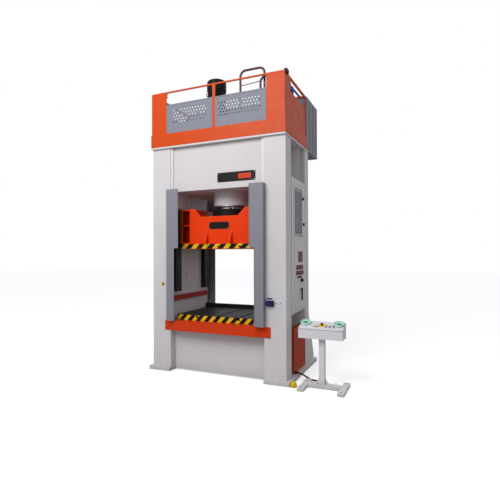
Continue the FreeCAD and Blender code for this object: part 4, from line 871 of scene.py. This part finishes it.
def addGallery(values):
    low, high = boxOf("gallery_frame")
    front, reach, deck, rail = low[1], high[0], low[2], high[2] - 0.025
    strip = values["foldStrip"]
    folds = boxes([(reach - strip, front - 0.003, deck + 0.23), (-reach, front - 0.003, deck + 0.23)],
                  [(reach, front - 0.0002, rail), (-reach + strip, front - 0.0002, rail)])
    gussets = boxes([(s * 0.951 - 0.004, front + 0.0082, rail - 0.09) for s in (-1, 1)],
                    [(s * 0.951 + 0.004, front + 0.025, rail) for s in (-1, 1)])
    addPiece("cornerFolds", merge(folds, gussets), "orangePaint", rounded=0.0015)
    glow, ghigh = boxOf("gallery_grilles")
    rim, y0, y1 = values["rim"], glow[1] - values["rimProud"], glow[1] - 0.0002
    low, top, spans = values["grilleLow"], ghigh[2], ((glow[0], -0.028), (0.028, ghigh[0]))
    lows, highs = [], []
    for x0, x1 in spans:
        for a, b, c, d in ((x0, x1, top - rim, top), (x0, x1, low, low + rim),
                           (x0, x0 + rim, low + rim, top - rim), (x1 - rim, x1, low + rim, top - rim)):
            lows.append((a, y0, c))
            highs.append((b, y1, d))
    addPiece("grilleRims", boxes(lows, highs), "grillePaint", rounded=0.0008)
    places = np.concatenate([grid3(np.linspace(x0 + rim / 2, x1 - rim / 2, 4), [y0],
                                   [low + rim / 2, top - rim / 2]) for x0, x1 in spans])
    slow, shigh = boxOf("gallery_skirt")
    skirt = grid3(np.linspace(slow[0] + 0.05, shigh[0] - 0.05, 9), [slow[1]], [slow[2] + 0.030])
    sides = [screws([(s * shigh[0], y, slow[2] + 0.030) for y in np.linspace(-0.62, 0.44, 6)], 0.008, 0.006,
                    "x", s) for s in (-1, 1)]
    addPiece("gallerySkirtScrews", merge(screws(skirt, 0.008, 0.006, "y", -1), *sides), "orangePaint")
    addPiece("grilleScrews", screws(places, 0.006, 0.005, "y", -1), "boltSteel")

    low, high = boxOf("oil_tank")
    wide, proud = values["tankRib"], values["tankRibProud"]
    ribs = [(s * high[0] + (0 if s > 0 else -proud), y, low[2] + 0.06) for s in (-1, 1)
            for y in (0.70, 0.92, 1.14)]
    ribTops = [(x + proud, y + wide, high[2] - 0.06) for x, y, z in ribs]
    backRibs = [(x, high[1], low[2] + 0.06) for x in np.linspace(-1.1, 1.1, 6)]
    backTops = [(x + wide, y + proud, high[2] - 0.06) for x, y, z in backRibs]
    addPiece("tankRibs", boxes(ribs + backRibs, ribTops + backTops), "tankPaint", rounded=0.002)
    cover = lathe([(0, 0), (0.24, 0), (0.24, 0.012), (0.232, 0.016), (0, 0.016)], 56, (-0.55, 0.88, high[2]))
    filler = lathe([(0, 0), (0.055, 0), (0.055, 0.012), (0.040, 0.014), (0.040, 0.045), (0.052, 0.047),
                    (0.052, 0.085), (0.044, 0.095), (0, 0.095)], 40, (0.55, 0.95, high[2]))
    addPiece("tankFittings", merge(cover, filler), "tankPaint", angle=35)
    ring = circle(12, 0.215, (-0.55, 0.88), high[2] + 0.0155)
    drain = [(0.9, high[1] - 0.05, low[2])]
    gaugeNuts = [(-0.9, high[1], z) for z in (4.30, 4.75)]
    addPiece("tankScrews", merge(screws(ring, 0.011, 0.010), screws(drain, 0.022, 0.020, "z", -1),
                                 screws(gaugeNuts, 0.018, 0.018, "y", 1)), "boltSteel")
    glass = lathe([(0, 4.32), (0.009, 4.32), (0.009, 4.73), (0, 4.73)], 20, (-0.9, high[1] + 0.012, 0))
    addPiece("levelGauge", glass, "lampPlastic", angle=35)
    bosses = boxes([(-0.035, 0.455, 4.44), (0.42, 0.470, 4.06)],
                   [(0.035, 0.4995, 4.52), (0.50, 0.4995, 4.14)])
    addPiece("tankBosses", bosses, "tankPaint", rounded=0.004)
    addPiece("tankLiftingEyes", merge(*[lathe([(0.026, 0.0), (0.036, -0.010), (0.046, 0.0), (0.036, 0.010)],
                                              28, (x, 0.62, high[2] + 0.036), "y", loop=True)
                                        for x in (-1.1, 1.1)]), "boltSteel", angle=60)


addGallery(gallery)
print("gallery detail added")

frameDetail = {
    "stripWide": 0.045,
    "stripProud": 0.024,
    "columnReach": 1.26,
    "columnFront": -0.655,
    "footTop": 0.071,
    "beadRadius": 0.006,
    "beadStep": 0.006,
    "beadRipple": 0.013,
    "guardBoltDepth": 0.690,
    "guardBoltCount": 8,
    "guideBoltCount": 8,
    "hemWide": 0.012,
    "hemFaces": ((-0.7607, -0.7552), (0.7552, 0.7610)),
    "rivetInset": 0.014,
    "lightPipe": (-0.868, -0.116),
    "lightPipeRadius": 0.006,
}


def weldLine(start, end, values):
    # a bead along a joint: radius * (1 + 0.16 sin(2 pi s / ripple)) at distance s
    start, end = np.array(start, float), np.array(end, float)
    length = np.linalg.norm(end - start)
    along = np.linspace(0, length, int(length / values["beadStep"]) + 2)
    path = start + (end - start) / length * along[:, None]
    swell = values["beadRadius"] * (1 + 0.16 * np.sin(2 * np.pi * along / values["beadRipple"]))
    helper = (1, 0, 0) if abs(end[0] - start[0]) < 0.5 * length else (0, 0, 1)
    return sweep(path, swell, helper, 6)


def addWelds(values):
    crownLow, crownHigh = boxOf("crown")
    inside, front, under = crownHigh[0], crownLow[1], crownLow[2]
    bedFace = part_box("bed")[0][1] + 0.010
    reach, face, foot = values["columnReach"], values["columnFront"], values["footTop"]
    seams = []
    for s in (-1, 1):
        side = s * (reach + 0.001)
        seams += [((s * inside, bedFace - 0.002, 0.08), (s * inside, bedFace - 0.002, 0.73)),
                  ((s * inside, face - 0.001, foot), (s * reach, face - 0.001, foot)),
                  ((side, face, foot), (side, face + 0.27, foot)), ((side, 0.425, foot), (side, 0.655, foot)),
                  ((s * inside, 0.656, foot), (s * reach, 0.656, foot))]
        seams += [((s * x, 0.664, 0.072), (s * x, 0.99, 0.072)) for x in (1.228, 0.922)]
    seams.append(((-0.88, bedFace - 0.001, 0.376), (0.88, bedFace - 0.001, 0.376)))
    seams.append(((-0.84, front - 0.001, under + 0.002), (-0.32, front - 0.001, under + 0.002)))
    addPiece("frameWelds", merge(*[weldLine(a, b, values) for a, b in seams]), "weldBead", angle=70)


def addFrameDetail(values):
    strip, proud = values["stripWide"], values["stripProud"]
    low, high = boxOf("crown")
    inside, front, top, under = high[0], low[1], high[2], low[2] + 0.03
    strips = boxes([(-inside, front - proud, under), (inside - strip, front - proud, under)],
                   [(-inside + strip, front - 0.0002, top), (inside, front - 0.0002, top)])
    addPiece("crownEdgeStrips", strips, "stripPaint", rounded=0.003)
    addWelds(values)

    low, high = boxOf("side_guards")
    rises = np.linspace(1.05, 3.05, values["guardBoltCount"])
    sets = [screws([(s * high[0], e * values["guardBoltDepth"], z) for z in rises], 0.010, 0.008, "x", s)
            for s in (-1, 1) for e in (-1, 1)]
    addPiece("guardBolts", merge(*sets), "boltSteel")
    # folded edges on the guards' front and back faces, an upper and a lower one each
    wide, lows, highs = values["hemWide"], [], []
    for s in (-1, 1):
        for y0, y1 in values["hemFaces"]:
            for x, z0, z1 in ((0.672, 2.172, 3.195), (0.757, 0.909, 2.160)):
                x0 = x if s > 0 else -x - wide
                lows.append((x0, y0, z0))
                highs.append((x0 + wide, y1, z1))
    addPiece("guardHems", boxes(lows, highs), "guardPaint", rounded=0.001)

    bar = [(s * x, -0.667, z) for s in (-1, 1) for x in (0.945, 0.985) for z in (0.765, 0.860)]
    rear = [(s * 0.86, 0.638, z) for s in (-1, 1) for z in (0.945, 1.020)]
    bolts = merge(screws(bar, 0.009, 0.008, "y", -1), screws(rear, 0.012, 0.010, "y", 1))
    addPiece("barBolts", bolts, "barPaint")
    low, high = boxOf("guide_rails")
    rises = np.linspace(low[2] + 0.06, high[2] - 0.06, values["guideBoltCount"])
    rows = grid3([-0.853, 0.853], [low[1]], rises)
    bolts = merge(screws(rows, 0.012, 0.010, "y", -1), screws(rows * (1, -1, 1), 0.012, 0.010, "y", 1))
    addPiece("guideBolts", bolts, "boltSteel")
    rails = [screws([(s * 0.850, y, 1.28) for y in np.linspace(-0.52, 0.50, 5)], 0.012, 0.009, "x", -s)
             for s in (-1, 1)]
    addPiece("innerRailBolts", merge(*rails), "railRed")
    low, high = boxOf("lower_covers")
    spots = [(y, z) for y in (low[1] + 0.03, 0.085, high[1] - 0.03) for z in (0.13, 0.46, 0.79)]
    covers = [screws([(x, y, z) for y, z in spots], 0.009, 0.006, "x", s) for x,
              s in ((high[0], 1), (low[0], -1))]
    addPiece("coverScrews", merge(*covers), "darkRedPaint")


def addPlatesAndPipe(values):
    low, high = boxOf("crown_plate")
    inset = values["rivetInset"]
    rivets = grid3([low[0] + inset, high[0] - inset], [low[1]], [low[2] + inset, high[2] - inset])
    addPiece("crownPlateRivets", screws(rivets, 0.006, 0.003, "y", -1), "machinedSteel")
    rivets = grid3([-0.178, 0.178], [-0.511], [2.512, 2.608])
    addPiece("slidePlateRivets", screws(rivets, 0.006, 0.003, "y", -1), "machinedSteel", body="ram")
    shoes = grid3([-0.7915, 0.7915], [-0.495], np.linspace(2.30, 2.80, 5))
    bolts = merge(screws(shoes, 0.009, 0.008, "y", -1), screws(shoes * (1, -1, 1), 0.009, 0.008, "y", 1))
    addPiece("shoeBolts", bolts, "boltSteel", body="ram")

    # a thin lubrication pipe down the left inner wall, with its clips and end fitting
    x, y = values["lightPipe"]
    drop = np.stack([np.full(60, x), np.full(60, y), np.linspace(1.47, 3.12, 60)], -1)
    line = sweep(drop, values["lightPipeRadius"], (1, 0, 0), 12)
    tip = turnedRing(0.0055, 0.013, 1.455, 1.490, 6, (x, y, 0))
    addPiece("lubricationPipe", merge(line, tip), "stripPaint", angle=50)
    rises = np.linspace(1.65, 3.0, 5)
    clips = boxes([(-0.890, -0.128, z) for z in rises], [(-0.860, -0.104, z + 0.018) for z in rises])
    addPiece("pipeClips", clips, "machinedSteel", rounded=0.001)
    addPiece("cylinderCollar", turnedRing(0.3225, 0.334, 3.135, 3.169, 64), "crownPaint", rounded=0.002)


addFrameDetail(frameDetail)
addPlatesAndPipe(frameDetail)

sideDetail = {
    "louvre": (-0.150, 0.218, 2.425, 3.160),
    "slatPitch": 0.0225,
    "slatProud": 0.009,
    "rimWide": 0.020,
    "rimProud": 0.004,
    "doorSkin": 0.008,
    "labels": [(0.004, 0.269, 1.918, 2.104), (-0.110, 0.300, 1.790, 1.872), (-0.127, 0.325, 1.700, 1.775),
               (-0.060, 0.220, 1.645, 1.685)],
    "labelProud": 0.0015,
}


def addDoorDetail(values):
    y0, y1, z0, z1 = values["louvre"]
    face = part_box("upper_door")[1][0] - values["doorSkin"]
    proud, wide = face + values["slatProud"], values["rimWide"]
    # each slat is a hood that leans out and opens downwards
    slat = prism([(face - 0.001, 0.0), (proud, 0.003), (proud, 0.006), (face - 0.001, 0.017)], y0, y1, "y")
    count = int((z1 - z0) / values["slatPitch"])
    hoods = repeat(slat, [(0, 0, z0 + k * values["slatPitch"]) for k in range(count)])
    back, crest = face - 0.0005, face + values["rimProud"]
    edges = [(y0 - wide, y1 + wide, z0 - wide, z0), (y0 - wide, y1 + wide, z1, z1 + wide),
             (y0 - wide, y0, z0, z1), (y1, y1 + wide, z0, z1)]
    rim = boxes([(back, a, c) for a, b, c, d in edges], [(crest, b, d) for a, b, c, d in edges])
    addPiece("doorLouvres", merge(hoods, rim), "guardPaint", body="upper_door")
    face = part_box("lower_door")[1][0] - values["doorSkin"]
    labels = boxes([(face - 0.0005, a, c) for a, b, c, d in values["labels"]],
                   [(face + values["labelProud"], b, d) for a, b, c, d in values["labels"]])
    addPiece("doorLabels", labels, "labelRed", body="lower_door", rounded=0.0005)
    low, high = boxOf("door_switch")
    x, y, z = low[0], (low[1] + high[1]) / 2, (low[2] + high[2]) / 2
    knob = lathe([(0, x), (0.028, x), (0.028, x + 0.012), (0.024, x + 0.018), (0, x + 0.018)], 36,
                 (0, y, z), "x")
    grip = boxes([(x + 0.0175, y - 0.009, z - 0.028)], [(high[0], y + 0.009, z + 0.028)])
    addPiece("switchKnob", merge(knob, grip), "blackPlastic", body="door_switch", stands=["door_switch"],
             rounded=0.002, angle=35)
    collar = turnedRing(0.029, 0.042, x - 0.0005, x + 0.004, 40, (0, y, z), "x")
    escutcheon = boxes([(face - 0.0005, 0.146, 1.240)], [(face + 0.0008, 0.198, 1.250)])
    addPiece("switchCollar", merge(collar, escutcheon), "machinedSteel", body="lower_door", rounded=0.001)


def addSideDetail(values):
    addDoorDetail(values)
    strips = boxes([(1.2372, -0.322, 1.07), (1.2372, 0.352, 1.07), (1.2372, -0.320, 3.300)],
                   [(1.2590, -0.250, 3.33), (1.2560, 0.420, 3.33), (1.2400, 0.350, 3.33)])
    addPiece("sideEdgeStrips", strips, "stripPaint", rounded=0.002)
    low, high = boxOf("column_stop_button")
    x, z = (low[0] + high[0]) / 2, (low[2] + high[2]) / 2
    cap = [(0, high[1]), (0.016, high[1]), (0.016, low[1] + 0.006), (0.013, low[1] + 0.0015), (0.006, low[1]),
           (0, low[1])]
    addPiece("columnStopCap", lathe(cap, 40, (x, 0, z), "y"), "redPlastic", body="column_stop_button",
             stands=["column_stop_button"], angle=40)
    low, high = boxOf("corner_pad")
    x, y = (low[:2] + high[:2]) / 2
    radius, top = (high[0] - low[0]) / 2, high[2]
    bend = np.linspace(0, np.pi / 2, 12)
    # a straight foot up to 0.35 of the height, then a quarter ellipse
    dome = np.stack([radius * np.cos(bend), 0.35 * top + 0.65 * top * np.sin(bend)], -1)
    dome = np.concatenate([[(0, 0), (radius, 0)], dome])
    addPiece("cornerPadDome", lathe(dome, 48, (x, y, 0)), "yellowPaint", stands=["corner_pad"], angle=50)
    addPiece("socketHoodCap", boxes([(1.019, -0.7055, 1.243)], [(1.0555, -0.6772, 1.311)]), "blackPlastic",
             rounded=0.004)


addSideDetail(sideDetail)
print("frame and side detail added")

console = {
    "lidCentre": (1.8, -0.545, 0.9675),
    "lidRise": 0.075,
    "lidDepth": 0.260,
    "palmAcross": 0.260,
    "palmUp": 0.020,
    "keysUp": -0.034,
    "stopUp": -0.006,
    "lamps": (-0.105, -0.062),
    "keys": {"one": 0.075, "two": 0.130, "three": 0.185},
    "labelHalf": 0.018,
    "lidScrew": (0.325, 0.118),
}


def onLid(shape, values, u=0.0, v=0.0):
    # turns a shape built at the origin to the lid's slope and carries it u across and v up the slope
    verts, faces = shape
    slope = math.atan2(values["lidRise"], values["lidDepth"])
    c, n = math.cos(slope), math.sin(slope)
    turn = np.array([[1, 0, 0], [0, c, -n], [0, n, c]])
    return (np.asarray(verts, float) + (u, v, 0)) @ turn.T + values["lidCentre"], faces


def addButton(name, profile, turns, finish, node, values, u, v):
    # a turned button that moves with its own body
    addPiece(name, onLid(lathe(profile, turns), values, u, v), finish, body=node, stands=[node], angle=40)


def addPalms(values):
    bend = np.linspace(0, np.pi / 2, 9)
    # the dish flares out in a quarter ellipse with a rolled lip
    outer = np.stack([0.058 + 0.022 * np.sin(bend), 0.040 * (1 - np.cos(bend))], -1)
    inner = np.stack([0.053 + 0.021 * np.sin(bend), 0.006 + 0.040 * (1 - np.cos(bend))], -1)[::-1]
    section = np.concatenate([[(0.0145, 0.0)], outer, [(0.0795, 0.044), (0.077, 0.046)], inner,
                              [(0.0145, 0.006)]])
    dish = lathe(section, 56, loop=True)
    sides = {"left": -values["palmAcross"], "right": values["palmAcross"]}
    dishes = [onLid(dish, values, u, values["palmUp"]) for u in sides.values()]
    addPiece("palmDishes", merge(*dishes), "mintPlastic", stands=["palm_guards"], angle=40)
    cap = np.stack([0.034 * np.cos(bend), 0.022 + 0.016 * np.sin(bend)], -1)
    mushroom = np.concatenate([[(0, -0.014), (0.014, -0.014), (0.014, 0.016), (0.0325, 0.018)], cap])
    for label, u in sides.items():
        addButton(label + "PalmCap", mushroom, 48, "greenPlastic", label + "_palm_button", values, u,
                  values["palmUp"])


def addKeys(values):
    stop = [(0, -0.014), (0.013, -0.014), (0.013, 0.018), (0.0195, 0.021), (0.021, 0.025), (0.021, 0.031),
            (0.017, 0.036), (0.008, 0.038), (0, 0.038)]
    addButton("consoleStopCap", stop, 40, "stopPlastic", "console_stop_button", values, 0, values["stopUp"])
    up, lamps, keys = values["keysUp"], values["lamps"], values["keys"]
    lens = lathe([(0, 0), (0.012, 0), (0.012, 0.007), (0.0095, 0.0125), (0, 0.014)], 32)
    addPiece("lampLenses", merge(*[onLid(lens, values, u, up) for u in lamps]), "lampPlastic",
             stands=["pilot_lamps"], angle=40)
    key = [(0, -0.014), (0.011, -0.014), (0.011, 0.012), (0.0095, 0.0155), (0.004, 0.0150), (0, 0.0148)]
    for word, u in keys.items():
        addButton("pushCap_" + word, key, 32, "blackPlastic", "push_button_" + word, values, u, up)
    bezels = []
    for inner, outer, places in ((0.0118, 0.0170, keys.values()), (0.0125, 0.0180, lamps)):
        section = [(inner, 0.0002), (outer, 0.0002), (outer, 0.0030), (outer - 0.0020, 0.0050),
                   (inner, 0.0050)]
        bezels += [onLid(lathe(section, 36, loop=True), values, u, up) for u in places]
    addPiece("keyBezels", merge(*bezels), "machinedSteel", angle=40)
    places, half = (*lamps, *keys.values()), values["labelHalf"]
    slips = boxes([(u - half, up - 0.040, 0.0002) for u in places],
                  [(u + half, up - 0.024, 0.0014) for u in places])
    addPiece("keyLabels", onLid(slips, values), "blackPlastic")
    across, deep = values["lidScrew"]
    spots = grid3([-across, across], [-deep, deep], [0])
    addPiece("lidScrews", onLid(screws(spots, 0.006, 0.004), values), "boltSteel")


def addStand(values):
    low, high = boxOf("console_box")
    # a seal line along the front and both ends, under the lid
    seam = boxes([(low[0] - 0.0010, low[1] - 0.0012, 0.9130), (low[0] - 0.0010, high[1], 0.9860)],
                 [(high[0] + 0.0010, low[1] - 0.0001, 0.9165), (high[0] + 0.0010, high[1] + 0.0012, 0.9895)])
    addPiece("lidSeam", seam, "rubber")
    low, high = boxOf("pedestal_stand")
    ends = [(x, y, 0.004) for x in (low[0] + 0.004, high[0] - 0.096) for y in (low[1] - 0.003,
                                                                               high[1] - 0.001)]
    caps = boxes(ends, [(x + 0.092, y + 0.004, 0.046) for x, y, z in ends])
    addPiece("standEndCaps", caps, "consolePaint", rounded=0.001)
    x, y = values["lidCentre"][:2]
    holds = grid3([low[0] + 0.05, high[0] - 0.05], [low[1] + 0.05, high[1] - 0.05], [0.050])
    foot = grid3([x - 0.062, x + 0.062], [y - 0.030, y + 0.030], [0.0752])
    addPiece("standBolts", screws(np.concatenate([holds, foot]), 0.011, 0.009), "boltSteel")
    gussets = [prism([(x + s * 0.044, 0.075), (x + s * 0.104, 0.075), (x + s * 0.044, 0.175)], y - 0.004,
                     y + 0.004, "y") for s in (-1, 1)]
    addPiece("standGussets", merge(*gussets), "consolePaint", rounded=0.001)


addPalms(console)
addKeys(console)
addStand(console)
print("console finished")
